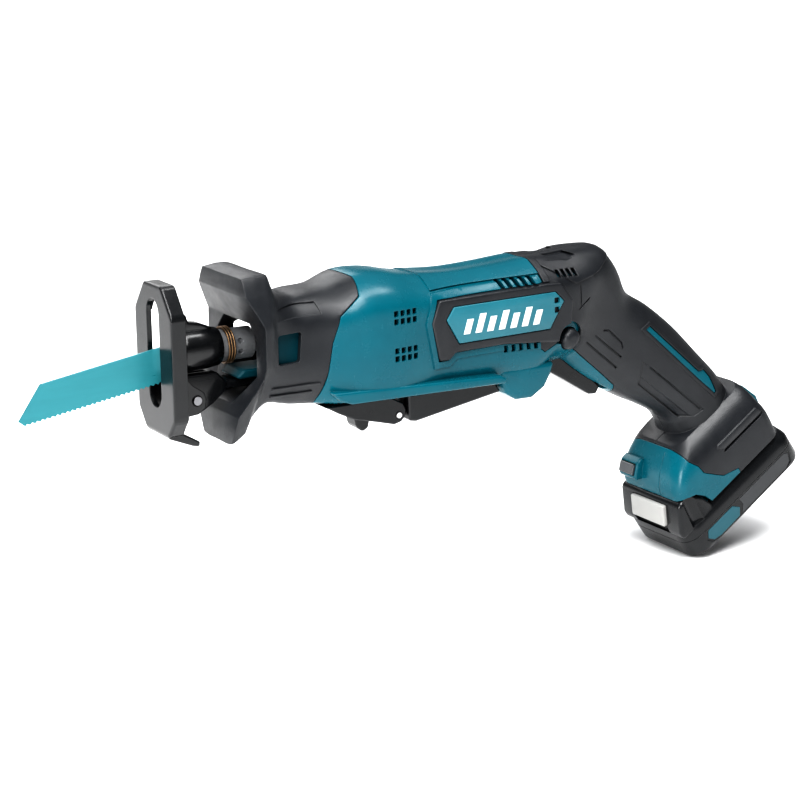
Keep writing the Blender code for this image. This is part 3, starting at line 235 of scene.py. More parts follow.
def noise(nodes, links, coords, scale, detail=4.0, rough=0.55):
    made = nodes.new("ShaderNodeTexNoise")
    made.inputs["Scale"].default_value = scale
    made.inputs["Detail"].default_value = detail
    made.inputs["Roughness"].default_value = rough
    links.new(coords, made.inputs["Vector"])
    return made.outputs["Fac"]


def spread(nodes, links, value, low, high):
    """The middle of a noise's range, stretched to run from low to high."""
    made = nodes.new("ShaderNodeMapRange")
    made.inputs["From Min"].default_value = 0.3
    made.inputs["From Max"].default_value = 0.7
    made.inputs["To Min"].default_value = low
    made.inputs["To Max"].default_value = high
    links.new(value, made.inputs["Value"])
    return made.outputs["Result"]


def tint(nodes, links, factor, one, two):
    made = nodes.new("ShaderNodeMix")
    made.data_type = "RGBA"
    made.inputs["A"].default_value = (*one, 1)
    made.inputs["B"].default_value = (*two, 1)
    links.new(factor, made.inputs["Factor"])
    return made.outputs["Result"]


def moulded(name, colour, shade, rough, grain, height, metallic=0.0, edge=0.3, coat=0.0, stretch=(1, 1, 1),
            specular=0.5):
    """A surface whose tone drifts from colour to shade, with patchy gloss, fine grain and edges softened by edge mm."""
    made, nodes, links, shader = graph(name)
    place = nodes.new("ShaderNodeTexCoord")
    mapping = nodes.new("ShaderNodeMapping")
    mapping.inputs["Scale"].default_value = stretch
    links.new(place.outputs["Object"], mapping.inputs["Vector"])
    coords = mapping.outputs["Vector"]
    clouds = noise(nodes, links, coords, TONE_SCALE, 5.0, 0.6)
    links.new(tint(nodes, links, spread(nodes, links, clouds, 0.0, 1.0), colour, shade), shader.inputs["Base Color"])
    patches = noise(nodes, links, coords, GLOSS_SCALE, 6.0, 0.65)
    links.new(spread(nodes, links, patches, rough[0], rough[1]), shader.inputs["Roughness"])
    shader.inputs["Metallic"].default_value = metallic
    shader.inputs["Specular IOR Level"].default_value = specular
    shader.inputs["Coat Weight"].default_value = coat
    shader.inputs["Coat Roughness"].default_value = COAT_ROUGHNESS
    bump = nodes.new("ShaderNodeBump")
    bump.inputs["Strength"].default_value = height
    bump.inputs["Distance"].default_value = GRAIN_DEPTH
    links.new(noise(nodes, links, coords, grain, 3.0, 0.6), bump.inputs["Height"])
    if edge:
        soft = nodes.new("ShaderNodeBevel")
        soft.samples = EDGE_SAMPLES
        soft.inputs["Radius"].default_value = edge * MM
        links.new(soft.outputs["Normal"], bump.inputs["Normal"])
    links.new(bump.outputs["Normal"], shader.inputs["Normal"])
    return made


TEAL = moulded("teal_plastic", (0.0004, 0.085, 0.112), (0.0003, 0.073, 0.098), (0.20, 0.31), 2200, 0.09, edge=0.45,
               specular=0.3)
TEAL_TAG = moulded("teal_tag", (0.0008, 0.072, 0.095), (0.0006, 0.060, 0.080), (0.30, 0.40), 1500, 0.06, edge=0.15)
# Teal lightened to paint in the sheen of the badge plates; their roughness itself is satin.
TEAL_PAINTED_SHEEN = moulded("teal_badge_painted_sheen", (0.012, 0.122, 0.154), (0.009, 0.104, 0.134), (0.34, 0.44), 1500, 0.05, edge=0.3)
# A darker copy of teal_plastic with little gloss: painted shade for the liner inside the boot and for the nose guard.
TEAL_PAINTED_SHADE = moulded("teal_painted_shade", (0.0003, 0.036, 0.048), (0.0002, 0.030, 0.040), (0.48, 0.60), 2000, 0.09, edge=0.4,
                    specular=0.15)
RUBBER = moulded("charcoal_elastomer", (0.0125, 0.014, 0.0165), (0.008, 0.009, 0.011), (0.33, 0.46), 2600, 0.34,
                 edge=0.7, specular=0.42)
BLACK = moulded("black_plastic", (0.008, 0.009, 0.010), (0.006, 0.0065, 0.0075), (0.17, 0.28), 2400, 0.16, edge=0.4,
                specular=0.36)
LABEL = moulded("blank_label", (0.030, 0.032, 0.035), (0.024, 0.026, 0.028), (0.34, 0.44), 1800, 0.05, edge=0.1)
PAINT = moulded("black_enamel_steel", (0.005, 0.0055, 0.0065), (0.0035, 0.004, 0.0045), (0.16, 0.26), 900, 0.08,
                edge=0.9, specular=0.5)
BLADE = moulded("blade_paint", (0.030, 0.205, 0.235), (0.022, 0.160, 0.185), (0.24, 0.42), 1400, 0.16, metallic=0.25,
                edge=0.0, stretch=(0.12, 1, 1))
STEEL = moulded("bright_steel", (0.62, 0.62, 0.62), (0.50, 0.50, 0.50), (0.22, 0.36), 1600, 0.12, metallic=1.0,
                stretch=(0.2, 1, 1))
DARK_STEEL = moulded("dark_steel", (0.30, 0.30, 0.31), (0.19, 0.19, 0.20), (0.28, 0.44), 1400, 0.16, metallic=1.0)
SATIN_STEEL = moulded("satin_steel", (0.17, 0.175, 0.18), (0.10, 0.103, 0.107), (0.40, 0.54), 1400, 0.16, metallic=0.35)
WIRE = moulded("spring_wire", (0.22, 0.14, 0.075), (0.13, 0.085, 0.05), (0.30, 0.45), 1500, 0.10, metallic=1.0,
               edge=0.0)
BRONZE = moulded("sintered_bronze", (0.45, 0.30, 0.14), (0.36, 0.23, 0.10), (0.42, 0.58), 2600, 0.30, metallic=1.0)
ALLOY = moulded("cast_alloy", (0.46, 0.47, 0.48), (0.36, 0.37, 0.38), (0.42, 0.60), 1100, 0.42, metallic=1.0)
FERRITE = moulded("ferrite", (0.045, 0.045, 0.047), (0.035, 0.035, 0.036), (0.55, 0.70), 2200, 0.30)
WHITE = moulded("off_white_plastic", (0.34, 0.337, 0.325), (0.31, 0.307, 0.297), (0.34, 0.46), 2300, 0.14, edge=0.4)
INK = moulded("white_print", (0.60, 0.61, 0.61), (0.56, 0.57, 0.57), (0.30, 0.42), 1800, 0.05, edge=0.1)
BOARD = moulded("circuit_board", (0.016, 0.13, 0.05), (0.010, 0.09, 0.035), (0.30, 0.45), 900, 0.20)
CELL = moulded("cell_sleeve", (0.08, 0.22, 0.42), (0.06, 0.18, 0.36), (0.24, 0.36), 800, 0.08)
LENS = moulded("clear_lens", (0.05, 0.055, 0.06), (0.035, 0.04, 0.045), (0.05, 0.10), 900, 0.05, edge=0.2, coat=0.6)

LOOKS = {
    "teal_plastic": TEAL, "charcoal_elastomer": RUBBER, "black_plastic": BLACK, "black_enamel_steel": PAINT,
    "teal_blade_paint": BLADE, "bright_steel": STEEL, "dark_steel": DARK_STEEL, "copper_spring_wire": WIRE,
    "sintered_bronze": BRONZE, "cast_alloy": ALLOY, "ferrite": FERRITE, "off_white_plastic": WHITE,
    "clear_lens": LENS, "circuit_board": BOARD, "cell_sleeve": CELL,
}


# ---------------------------------------------------------------- shapes
def keep_mesh(bm, name):
    bmesh.ops.recalc_face_normals(bm, faces=bm.faces)
    mesh = bpy.data.meshes.new(name)
    bm.to_mesh(mesh)
    bm.free()
    made = bpy.data.objects.new(name, mesh)
    bpy.context.scene.collection.objects.link(made)
    return made


def settle(thing):
    """Applies every modifier to the mesh."""
    bpy.context.view_layer.update()
    shape = bpy.data.meshes.new_from_object(thing.evaluated_get(bpy.context.evaluated_depsgraph_get()))
    thing.modifiers.clear()
    thing.data = shape
    return thing


def rounded(thing, width, segments=2, angle=35.0):
    """Rounds the edges that are sharper than angle degrees."""
    edge = thing.modifiers.new("rounded", "BEVEL")
    edge.width = width * MM
    edge.segments = segments
    edge.limit_method = "ANGLE"
    edge.angle_limit = math.radians(angle)
    return settle(thing)


def turned(thing, place, angle):
    """Turns a shape about the y axis and then moves it to place."""
    thing.data.transform(Matrix.Translation(Vector(place) * MM) @ Euler((0, angle, 0)).to_matrix().to_4x4())
    return thing


def to_foot(thing):
    """Carries a shape from the battery foot's own frame to the tool's."""
    return turned(thing, FOOT_AT, -FOOT_TILT)


def box(name, low, high, round_by=0.0):
    bm = bmesh.new()
    size = [(b - a) * MM for a, b in zip(low, high)]
    middle = [(a + b) / 2 * MM for a, b in zip(low, high)]
    bmesh.ops.create_cube(bm, size=1.0, matrix=Matrix.Translation(middle) @ Matrix.Diagonal((*size, 1.0)))
    made = keep_mesh(bm, name)
    return rounded(made, round_by, 3) if round_by else made


def cylinder(name, start, way, radius, length, sides=32):
    bm = bmesh.new()
    way = Vector(way).normalized()
    turn = way.to_track_quat("Z", "Y").to_matrix().to_4x4()
    bmesh.ops.create_cone(bm, cap_ends=True, segments=sides, radius1=radius * MM, radius2=radius * MM,
                          depth=length * MM, matrix=Matrix.Translation((Vector(start) + way * length / 2) * MM) @ turn)
    return keep_mesh(bm, name)


def prism(name, outline, near, far):
    """A side-view outline carried across the tool from y = near to y = far."""
    bm = bmesh.new()
    face = bm.faces.new([bm.verts.new((x * MM, near * MM, z * MM)) for x, z in outline])
    moved = bmesh.ops.extrude_face_region(bm, geom=[face])["geom"]
    points = [item for item in moved if isinstance(item, bmesh.types.BMVert)]
    bmesh.ops.translate(bm, verts=points, vec=(0, (far - near) * MM, 0))
    return keep_mesh(bm, name)


def combine(thing, tools, how):
    """Joins thing with each tool in turn, as how says."""
    for tool in tools:
        step = thing.modifiers.new(tool.name, "BOOLEAN")
        step.operation = how
        step.object = tool
        step.solver = "MANIFOLD"
    return settle(thing)


def cut(thing, *tools):
    return combine(thing, tools, "DIFFERENCE")


def fuse(thing, *tools):
    return combine(thing, tools, "UNION")


def keep(thing, *tools):
    return combine(thing, tools, "INTERSECT")


def gathered(name, pieces):
    """One mesh from several that don't touch."""
    bm = bmesh.new()
    for piece in pieces:
        bm.from_mesh(piece.data)
        bpy.data.objects.remove(piece)
    return keep_mesh(bm, name)


def copy_of(thing, name):
    made = bpy.data.objects.new(name, thing.data.copy())
    bpy.context.scene.collection.objects.link(made)
    return made


def offset_outline(outline, by):
    """The outline grown outwards by a margin; a negative margin shrinks it."""
    area = sum(a[0] * b[1] - b[0] * a[1] for a, b in zip(outline, outline[1:] + outline[:1]))
    side = 1.0 if area > 0 else -1.0
    moved = []
    for i, here in enumerate(outline):
        before = Vector(here) - Vector(outline[i - 1])
        after = Vector(outline[(i + 1) % len(outline)]) - Vector(here)
        n1 = Vector((before.y, -before.x)).normalized() * side
        n2 = Vector((after.y, -after.x)).normalized() * side
        mitre = (n1 + n2).normalized()
        moved.append(tuple(Vector(here) + mitre * (by / max(0.35, mitre.dot(n1)))))
    return moved


def line_outline(points, width):
    """The outline of a line of the given width through points."""
    left, right = [], []
    for i, here in enumerate(points):
        one = Vector(points[max(i - 1, 0)])
        two = Vector(points[min(i + 1, len(points) - 1)])
        way = (two - one).normalized()
        out = Vector((-way.y, way.x)) * width / 2
        left.append(tuple(Vector(here) + out))
        right.append(tuple(Vector(here) - out))
    return left + right[::-1]


def spline(points, steps, closed, pull=1.0):
    """Points along a curve through the given ones: pull 1 bends freely, pull 0 goes straight."""
    count = len(points)
    spans = count if closed else count - 1
    out = []
    for i in range(spans):
        picks = []
        for k in (i - 1, i, i + 1, i + 2):
            picks.append(points[k % count] if closed else points[min(max(k, 0), count - 1)])
        a, b, c, d = picks
        for j in range(steps):
            t = j / steps
            curve = 0.5 * (2 * b + (c - a) * t + (2 * a - 5 * b + 4 * c - d) * t * t + (3 * b - a - 3 * c + d) * t ** 3)
            out.append(curve * pull + b.lerp(c, t) * (1 - pull))
    if not closed:
        out.append(points[-1])
    return out


def loft(name, rings):
    """A closed skin through rings that have the same number of points."""
    bm = bmesh.new()
    rows = [[bm.verts.new(p * MM) for p in points] for points in rings]
    for one, two in zip(rows, rows[1:]):
        for k in range(len(one)):
            nxt = (k + 1) % len(one)
            bm.faces.new((one[k], one[nxt], two[nxt]))
            bm.faces.new((one[k], two[nxt], two[k]))
    bm.faces.new(rows[0])
    bm.faces.new(rows[-1])
    return keep_mesh(bm, name)


def lathe(name, profile):
    """A closed (x, radius) profile turned round the blade's axis."""
    bm = bmesh.new()
    rows = []
    for k in range(LATHE_STEPS):
        angle = 2 * math.pi * k / LATHE_STEPS
        rows.append([bm.verts.new((x * MM, r * math.cos(angle) * MM, r * math.sin(angle) * MM)) for x, r in profile])
    for k in range(LATHE_STEPS):
        here, onward = rows[k], rows[(k + 1) % LATHE_STEPS]
        for j in range(len(profile)):
            after = (j + 1) % len(profile)
            bm.faces.new((here[j], here[after], onward[after], onward[j]))
    return keep_mesh(bm, name)


def station_ring(station, inset, reach=0.0):
    """The outline of one station, moved inwards by inset and onwards by reach."""
    (tx, tz), (bx, bz), half, section = station
    top, bottom = Vector((tx, 0, tz)), Vector((bx, 0, bz))
    down = (bottom - top).normalized()
    onward = Vector((-down.z, 0, down.x)) * reach
    top, bottom = top + down * inset + onward, bottom - down * inset + onward
    left = [top.lerp(bottom, s) + Vector((0, -w * (half - inset), 0)) for s, w in SECTIONS[section]]
    right = [Vector((p.x, -p.y, p.z)) for p in left[-2:0:-1]]
    return left + right


def body_form(name, inset, first, last, reach=0.0, along=4, around=6):
    """The outer form between two stations, moved inwards by inset, with smooth curves both ways."""
    rings = []
    for i in range(first, last + 1):
        ring = station_ring(STATIONS[i], inset, reach if i == LAST else 0.0)
        rings.append(spline(ring, around, True, SOFTNESS[STATIONS[i][3]]))
    if first < COLLAR_TO < last:
        pulls = [0.2] * (COLLAR_TO - first) + [1.0] * (last - COLLAR_TO)
    else:
        pulls = [1.0] * (last - first)
    strands = [blended([points[k] for points in rings], along, pulls) for k in range(len(rings[0]))]
    return loft(name, [[strand[i] for strand in strands] for i in range(len(strands[0]))])


def blended(points, steps, pulls):
    """A curve through points whose pull changes from span to span."""
    free, tight = spline(points, steps, False, 1.0), spline(points, steps, False, 0.0)
    out = []
    for i in range(len(free)):
        pull = pulls[min(i // steps, len(pulls) - 1)]
        out.append(free[i] * pull + tight[i] * (1 - pull))
    return out


def round_rect(x0, x1, half, radius, z):
    """A rectangle with round corners at height z, from x0 to x1 and half to each side."""
    points = []
    corners = ((x1 - radius, half - radius, 0), (x0 + radius, half - radius, 90),
               (x0 + radius, radius - half, 180), (x1 - radius, radius - half, 270))
    for cx, cy, start in corners:
        for k in range(CORNER_STEPS + 1):
            angle = math.radians(start + 90 * k / CORNER_STEPS)
            points.append(Vector((cx + radius * math.cos(angle), cy + radius * math.sin(angle), z)))
    return points


def on_both_sides(name, outlines, inner):
    """Bars through the outlines, from inner outwards on each side of the tool."""
    return gathered(name, [prism(f"{name}_{i}", outline, side * inner, side * OUTSIDE)
                           for i, outline in enumerate(outlines) for side in SIDES])


def wrapped(name, outlines, depth, first=HOUSING_FROM, last=LAST):
    """What lies outside the form sunk by depth, within the outlines: cuts a recess of even depth."""
    return cut(on_both_sides(name, outlines, 4.0), body_form("sunk", depth, first, last))


def raised(name, outlines, height, first=HOUSING_FROM, last=LAST):
    """What lies inside the form swollen by height, within the outlines: adds a pad of even height."""
    return keep(on_both_sides(name, outlines, 6.0), body_form("swollen", -height, first, last))


def dressed(thing, paint):
    thing.data.materials.clear()
    thing.data.materials.append(paint)
    thing.data.shade_smooth()
    thing.data.set_sharp_from_angle(angle=SHARP_ANGLE)


def finish(thing, paint, body, nodes):
    """Gives a piece its material and the body it rides on, and hides the CAD nodes it stands for."""
    dressed(thing, paint)
    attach(thing, body)
    if nodes:
        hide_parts(*nodes)


def soften(thing, width):
    """A live bevel on the edges of a shape that keeps its own mesh."""
    edges = thing.modifiers.new("edges", "BEVEL")
    edges.width = width * MM
    edges.segments = 3
    edges.limit_method = "ANGLE"
    edges.angle_limit = BEVEL_ANGLE


def halves(seam, gap):
    """Cutters that leave the left or the right side of a seam at y = seam."""
    return (("left", box("left_only", (-60, seam - gap / 2, -220), (430, WIDE + 5, 100))),
            ("right", box("right_only", (-60, -WIDE - 5, -220), (430, seam + gap / 2, 100))))


LOADED = set(bpy.data.objects)       # what the frame brought; clear_tools() leaves it alone
SKIN_HALVES = halves(0.0, GAP)
SHELL_HALVES = halves(SHELL_SEAM, SHELL_GAP)


# ---------------------------------------------------------------- openings
def vent_cutter():
    """Two blocks of square holes and three rows of slanted slots on each side."""
    pieces = []
    for side in SIDES:
        low, high = sorted((side * VENT_OUTER, side * VENT_HOLE_INNER))
        for column in range(VENT_HOLE_COLUMNS):
            x = VENT_HOLE_FROM + VENT_HOLE_PITCH * column
            for row in VENT_HOLE_ROWS:
                pieces.append(box("vent", (x, low, row), (x + 2.5, high, row + 2.8), 0.4))
        for start, pitch, count, outlines in VENT_SLOTS:
            for slot in range(count):
                for outline in outlines:
                    moved = [(start + pitch * slot + x, z) for x, z in outline]
                    pieces.append(prism("vent", moved, side * VENT_SLOT_INNER, side * VENT_OUTER))
    return gathered("vents", pieces)


VENTS = vent_cutter()
MOUTH = prism("mouth", TRIGGER_MOUTH, -7.2, 7.2)
BUTTON_BORE = cylinder("button_bore", (CROSS_BOLT[0], -WIDE, CROSS_BOLT[2]), (0, 1, 0), 5.9, 2 * WIDE)
SCREW_SEATS = [cylinder("screw_seat", (x, seat, z), (0, 1, 0), 3.6, 40) for x, z, seat in SCREW_PLACES]


# ---------------------------------------------------------------- shells
def parted(whole, name, pairs):
    """The two halves of a shell, with the screw seats in the right one."""
    made = []
    for side, half in pairs:
        piece = copy_of(whole, f"{name}_{side}")
        cut(piece, half, *(SCREW_SEATS if side == "right" else ()))
        made.append((side, piece))
    bpy.data.objects.remove(whole)
    return made


def hard_shells():
    """The teal housing: body, core under the soft skin, liner inside the boot, ledge, lobe and plinths."""
    whole = body_form("housing", 0.0, HOUSING_FROM, LAST, -1.0)
    skin_edge = prism("skin_edge", offset_outline(SKIN_ZONE, GAP / 2), -WIDE, WIDE)
    cut(skin_edge, prism("stripe", STRIPE, -WIDE - 1, WIDE + 1))
    cut(whole, prism("boot_edge", offset_outline(BOOT_ZONE, GAP / 2), -WIDE, WIDE), skin_edge)
    core = body_form("core", SKIN + GAP, SKIN_FROM, LAST, -1.0, 2, 3)
    liner = body_form("liner", BOOT_WALL + GAP, 4, 8, 0.0, 3, 4)
    ledge = rounded(prism("ledge", LEDGE, -30.6, 30.6), 1.6, 4)
    lobe = rounded(prism("lobe", LOBE, -23.5, 23.5), 3.6, 5)
    plinth = raised("plinth", [offset_outline(FRAME, PLINTH_STEP)], 0.7)
    cut(plinth, box("plinth_end", (194, -WIDE, -40), (240, WIDE, 40)))
    top_step = keep(prism("top_step", TOP_STEP, -WIDE, WIDE), body_form("swollen", -0.6, HOUSING_FROM, LAST))
    fuse(whole, core, liner, ledge, lobe, plinth, top_step)
    hollow = body_form("hollow", SKIN + GAP + WALL, HOUSING_FROM + 1, LAST, 4.0, 2, 3)
    liner_hollow = body_form("liner_hollow", BOOT_WALL + GAP + WALL, 3, 8, 0.0, 3, 4)
    liner_front = prism("liner_front", LINER_FRONT, -WIDE, WIDE)
    liner_far = box("liner_far", (45, 10, -12), (60.5, WIDE, 12))
    under_frame = prism("under_frame", offset_outline(FRAME, GAP), -WIDE, WIDE)
    cut(under_frame, body_form("under_skin", SKIN + GAP, HOUSING_FROM, LAST, 0, 2, 3))
    cut(whole, liner_front, liner_far, hollow, liner_hollow, MOUTH, VENTS, BUTTON_BORE, under_frame)
    for side, shell in parted(whole, "shell", SHELL_HALVES):
        finish(shell, TEAL, "tool", [f"housing_{side}"])
        # Faces ahead of the boot's end take the darker teal: painted shade on the liner seen through the boot's
        # windows.
        shell.data.materials.append(TEAL_PAINTED_SHADE)
        for face in shell.data.polygons:
            face.material_index = int(face.center.x < PAINTED_SHADE_TO * MM)


def foot_form(name, grow=0.0):
    rows = [round_rect(low - grow, high + grow, half + grow, radius, z) for low, high, half, radius, z in FOOT_ROWS]
    strands = [spline([points[k] for points in rows], 5, False) for k in range(len(rows[0]))]
    return to_foot(loft(name, [[strand[i] for strand in strands] for i in range(len(strands[0]))]))


def teal_zone(name, grow):
    """The part of the foot that the teal cover takes."""
    return to_foot(prism(name, offset_outline(TEAL_FOOT, grow), -WIDE, WIDE))


RELIEF = to_foot(prism("front_relief", FRONT_RELIEF, -WIDE, WIDE))
CHANNEL = to_foot(box("channel", (-70, -21.4, 0), (29, 21.4, 33.2)))      # the battery's rail slides here


def soft_shells():
    """The black skin: rear cap, badge frames, handle and battery foot."""
    whole = body_form("skin", 0.0, SKIN_FROM, LAST)
    keep(whole, prism("zone", offset_outline(SKIN_ZONE, -GAP / 2), -WIDE, WIDE))
    foot = foot_form("foot")
    cut(foot, teal_zone("teal_wide", GAP / 2), RELIEF, CHANNEL)
    cut(foot, to_foot(box("foot_room", (-11, -13, 30), (26, 13, 49.5))))
    slots = to_foot(gathered("slots", [prism("slot", FOOT_SLOT, s * 25.2, s * OUTSIDE) for s in SIDES]))
    ridge = [rounded(prism("ridge_bar", FOOT_RIDGE, s * 20.0, s * 26.9), 0.6) for s in SIDES]
    ridge = to_foot(gathered("ridge", ridge))
    ring = fold_ring()
    frames = gathered("frames", [rounded(prism("frame_bar", FRAME, s * FRAME_Y, s * 21.0), 1.1, 4) for s in SIDES])
    nubs = gathered("nubs", [rounded(prism("nub", NUB, s * (FRAME_Y - 0.6), s * 22.0), 1.2, 4) for s in SIDES])
    rims = [keep(prism("cap_pad", outline, -WIDE, WIDE), body_form("swollen", -height, HOUSING_FROM, LAST))
            for outline, height in ((CAP_RIM, 0.9), (CAP_HOOD, 0.55))]
    edging = raised("edging", [offset_outline(STRIPE, 2.0)], 0.45)
    fuse(whole, frames, nubs, foot, ridge, ring, edging, *rims)
    inner = body_form("skin_inner", SKIN, SKIN_FROM, LAST, -0.6, 2, 3)
    windows = gathered("windows", [prism("window", offset_outline(BADGE, GAP), s * 26.6, s * OUTSIDE) for s in SIDES])
    stripe_edge = prism("stripe_edge", offset_outline(STRIPE, GAP), -WIDE, WIDE)
    cut(whole, inner, windows, stripe_edge, MOUTH, VENTS, BUTTON_BORE)
    cut(whole, slots)
    lines = [line_outline(points, 0.9) for points in RIB_LINES]
    cut(whole, wrapped("rib_lines", lines, 0.8))
    cut(whole, wrapped("grip_panel", [GRIP_PANEL], 0.45))
    cut(whole, wrapped("grip_deep", [GRIP_DEEP, line_outline(GRIP_LINE, 0.7)], 0.95))
    cut(whole, wrapped("cap_marks", [CAP_RECESS] + [line_outline(points, 0.7) for points in CAP_MARKS], 0.7))
    recess = [cylinder("recess", (211.9, s * 21.0, -13.8), (0, s, 0), 8.2, 12, 48) for s in SIDES]
    cut(whole, gathered("button_recess", recess))
    for side, skin in parted(whole, "skin", SKIN_HALVES):
        finish(skin, RUBBER, "tool", [f"grip_{side}"])


def fold_ring():
    """The soft fold round the foot of the handle."""
    station = (FOLD_TOP, FOLD_BOTTOM, 17.4, "grip")
    rings = []
    for k in range(9):
        bulge = math.sin(math.pi * k / 8)
        rings.append(spline(station_ring(station, 1.6 - 1.7 * bulge, k - 2.0), 6, True))
    return loft("fold_ring", rings)


def nose_boot():
    """The rubber collar and neck, with a window on each side."""
    boot = body_form("boot", 0.0, 0, NECK_TO)
    keep(boot, prism("boot_zone", offset_outline(BOOT_ZONE, -GAP / 2), -WIDE, WIDE))
    cut(boot, prism("collar_front", COLLAR_FRONT, -WIDE, WIDE))
    ridges = raised("neck_ridges", [line_outline(points, 1.0) for points in NECK_RIDGES], 0.6, first=0, last=NECK_TO)
    fuse(boot, ridges)
    cut(boot, body_form("boot_inner", BOOT_WALL, 4, NECK_TO, 0.0, 3, 4))
    cut(boot, loft("boot_hole", [[Vector((x, y * grow, z * grow)) for y, z in BOOT_HOLE] for x, grow in BOOT_FLARE]))
    soften(boot, 0.9)
    cut(boot, rounded(prism("boot_window", BOOT_WINDOW, -WIDE, WIDE), 1.4, 4))
    cut(boot, wrapped("neck_band", [NECK_BAND], 0.45, first=0, last=NECK_TO))
    finish(boot, RUBBER, "tool", ["nose_boot"])


def foot_cover():
    """The teal front of the foot, with the lamp's hood."""
    cover = foot_form("front_cover")
    keep(cover, teal_zone("teal_narrow", -GAP / 2))
    hood = to_foot(rounded(prism("hood", LAMP_HOOD, 5.5, 20.5), 2.2, 5))
    fuse(cover, hood)
    cut(cover, RELIEF, CHANNEL, to_foot(box("cover_room", (-26, -19, 36), (-10, 19, 44))))
    seat = box("lamp_seat", (-3.2, -6.3, -3.3), (3.2, 6.3, 9), 0.5)
    cut(cover, to_foot(turned(seat, LAMP_AT, LAMP_TURN)))
    seam = to_foot(box("cover_seam", (-60, -9.6, 0), (-19, -9.1, 80)))
    cut(seam, foot_form("cover_sunk", -0.35))
    cut(cover, seam)
    finish(cover, TEAL, "tool", ["foot_cover"])


def badges():
    """The teal plates in the frames, with a row of plain slanted bars on each."""
    for side, s in (("left", -1), ("right", 1)):
        plate = rounded(prism(f"badge_plate_{side}", BADGE, s * (FRAME_Y + 0.5), s * BADGE_SEAT_Y), 0.5, 3)
        cut(plate, *[rounded(prism("badge_hole", hole, s * 25, s * 35), 0.4) for hole in BADGE_HOLES])
        # The plates take the lightened teal, a painted sheen.
        finish(plate, TEAL_PAINTED_SHEEN, "tool", [f"badge_{side}"])
        bars = []
        for k in range(BAR_COUNT):
            x, high = BAR_FROM + BAR_PITCH * k, BAR_TALL if k % 2 else BAR_SHORT
            lean = BAR_LEAN * (high - BAR_FOOT)
            outline = ((x, BAR_FOOT), (x + BAR_WIDE, BAR_FOOT), (x + BAR_WIDE + lean, high), (x + lean, high))
            bars.append(rounded(prism("bar", outline, s * (FRAME_Y + 0.4), s * (FRAME_Y + 0.8)), 0.15, 2))
        finish(gathered(f"badge_bars_{side}", bars), INK, "tool", ())


def rear_catch():
    """Small teal catch behind the hump of the foot."""
    finish(rounded(prism("rear_catch", REAR_CATCH, -7, 7), 1.2, 3), TEAL, "tool", ())


def battery():
    """Both halves of the battery's case, with blank labels."""
    bottom = to_foot(loft("case_bottom", [round_rect(*row) for row in CASE_LOW_ROWS]))
    cut(bottom, to_foot(box("cell_room_low", (-37, -25.3, 1.2), (35, 25.3, 20))))
    bands = gathered("bands", [prism("band", LABEL_BAND, s * 26.6, s * 30) for s in SIDES])
    cut(bottom, to_foot(bands))
    finish(bottom, BLACK, "battery", ["battery_case_bottom"])
    for side, s in (("left", -1), ("right", 1)):
        tag = to_foot(rounded(prism(f"battery_tag_{side}", TAG, s * LABEL_Y, s * (LABEL_Y + 0.3)), 0.1, 1))
        finish(tag, TEAL_TAG, "battery", ())
        label = to_foot(rounded(prism(f"battery_label_{side}", BLANK_LABEL, s * LABEL_Y, s * (LABEL_Y + 0.25)), 0.1, 1))
        finish(label, LABEL, "battery", ())
    top = to_foot(loft("case_top", [round_rect(*row) for row in CASE_HIGH_ROWS]))
    block = to_foot(rounded(prism("block", FRONT_BLOCK, -26, 26), 2.2, 5))
    fuse(top, block, to_foot(box("rail", (-32, -21, 14), (27.5, 21, 32.8), 0.6)))
    scoops = [cylinder("scoop", (-31.5, s * 29.4, 16), (0.12, 0, 1), 5.2, 30, 40) for s in SIDES]
    cut(top, to_foot(gathered("scoops", scoops)))
    cut(top, to_foot(box("room_mid", (-37, -25.3, 8), (35, 25.3, 14.5))))
    cut(top, to_foot(box("room_high", (-37, -23.6, 13), (35, 23.6, 18))))
    cut(top, to_foot(box("rail_room", (-18, -19, 17), (12, 19, 30.8))))
    cut(top, *[to_foot(box("groove", (15, y - 1.6, 23), (40, y + 1.6, 40))) for y in (-8, 0, 8)])
    seat = box("button_seat", (-3.6, -14.6, -9.2), (3.2, 14.6, 7.2), 0.4)
    cut(top, to_foot(turned(seat, BUTTON_SEAT_AT, BUTTON_SEAT_TURN)))
    finish(top, BLACK, "battery", ["battery_case_top"])


def clamp_spring():
    """The copper-coloured coil behind the sleeve."""
    wire = bpy.data.curves.new("spring_coil", "CURVE")
    wire.dimensions = "3D"
    wire.bevel_depth = COIL_WIRE * MM
    wire.bevel_resolution = 4
    wire.use_fill_caps = True
    path = wire.splines.new("POLY")
    path.points.add(COIL_TURNS * COIL_STEPS)
    for i, point in enumerate(path.points):
        angle = 2 * math.pi * i / COIL_STEPS
        point.co = ((COIL_FROM + COIL_PITCH * i / COIL_STEPS) * MM, COIL_RADIUS * math.cos(angle) * MM,
                    COIL_RADIUS * math.sin(angle) * MM, 1.0)
    coil = bpy.data.objects.new("spring_coil", wire)
    bpy.context.scene.collection.objects.link(coil)
    wire.materials.append(WIRE)
    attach(coil, "plunger")
    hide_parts("clamp_spring")


def clamp_sleeve():
    """The turning sleeve of the blade clamp, with its lever."""
    sleeve = lathe("turning_sleeve", SLEEVE)
    fuse(sleeve, rounded(prism("sleeve_lever", LEVER, -3.6, 3.6), 0.9, 3))
    finish(sleeve, PAINT, "sleeve", ["clamp_sleeve"])


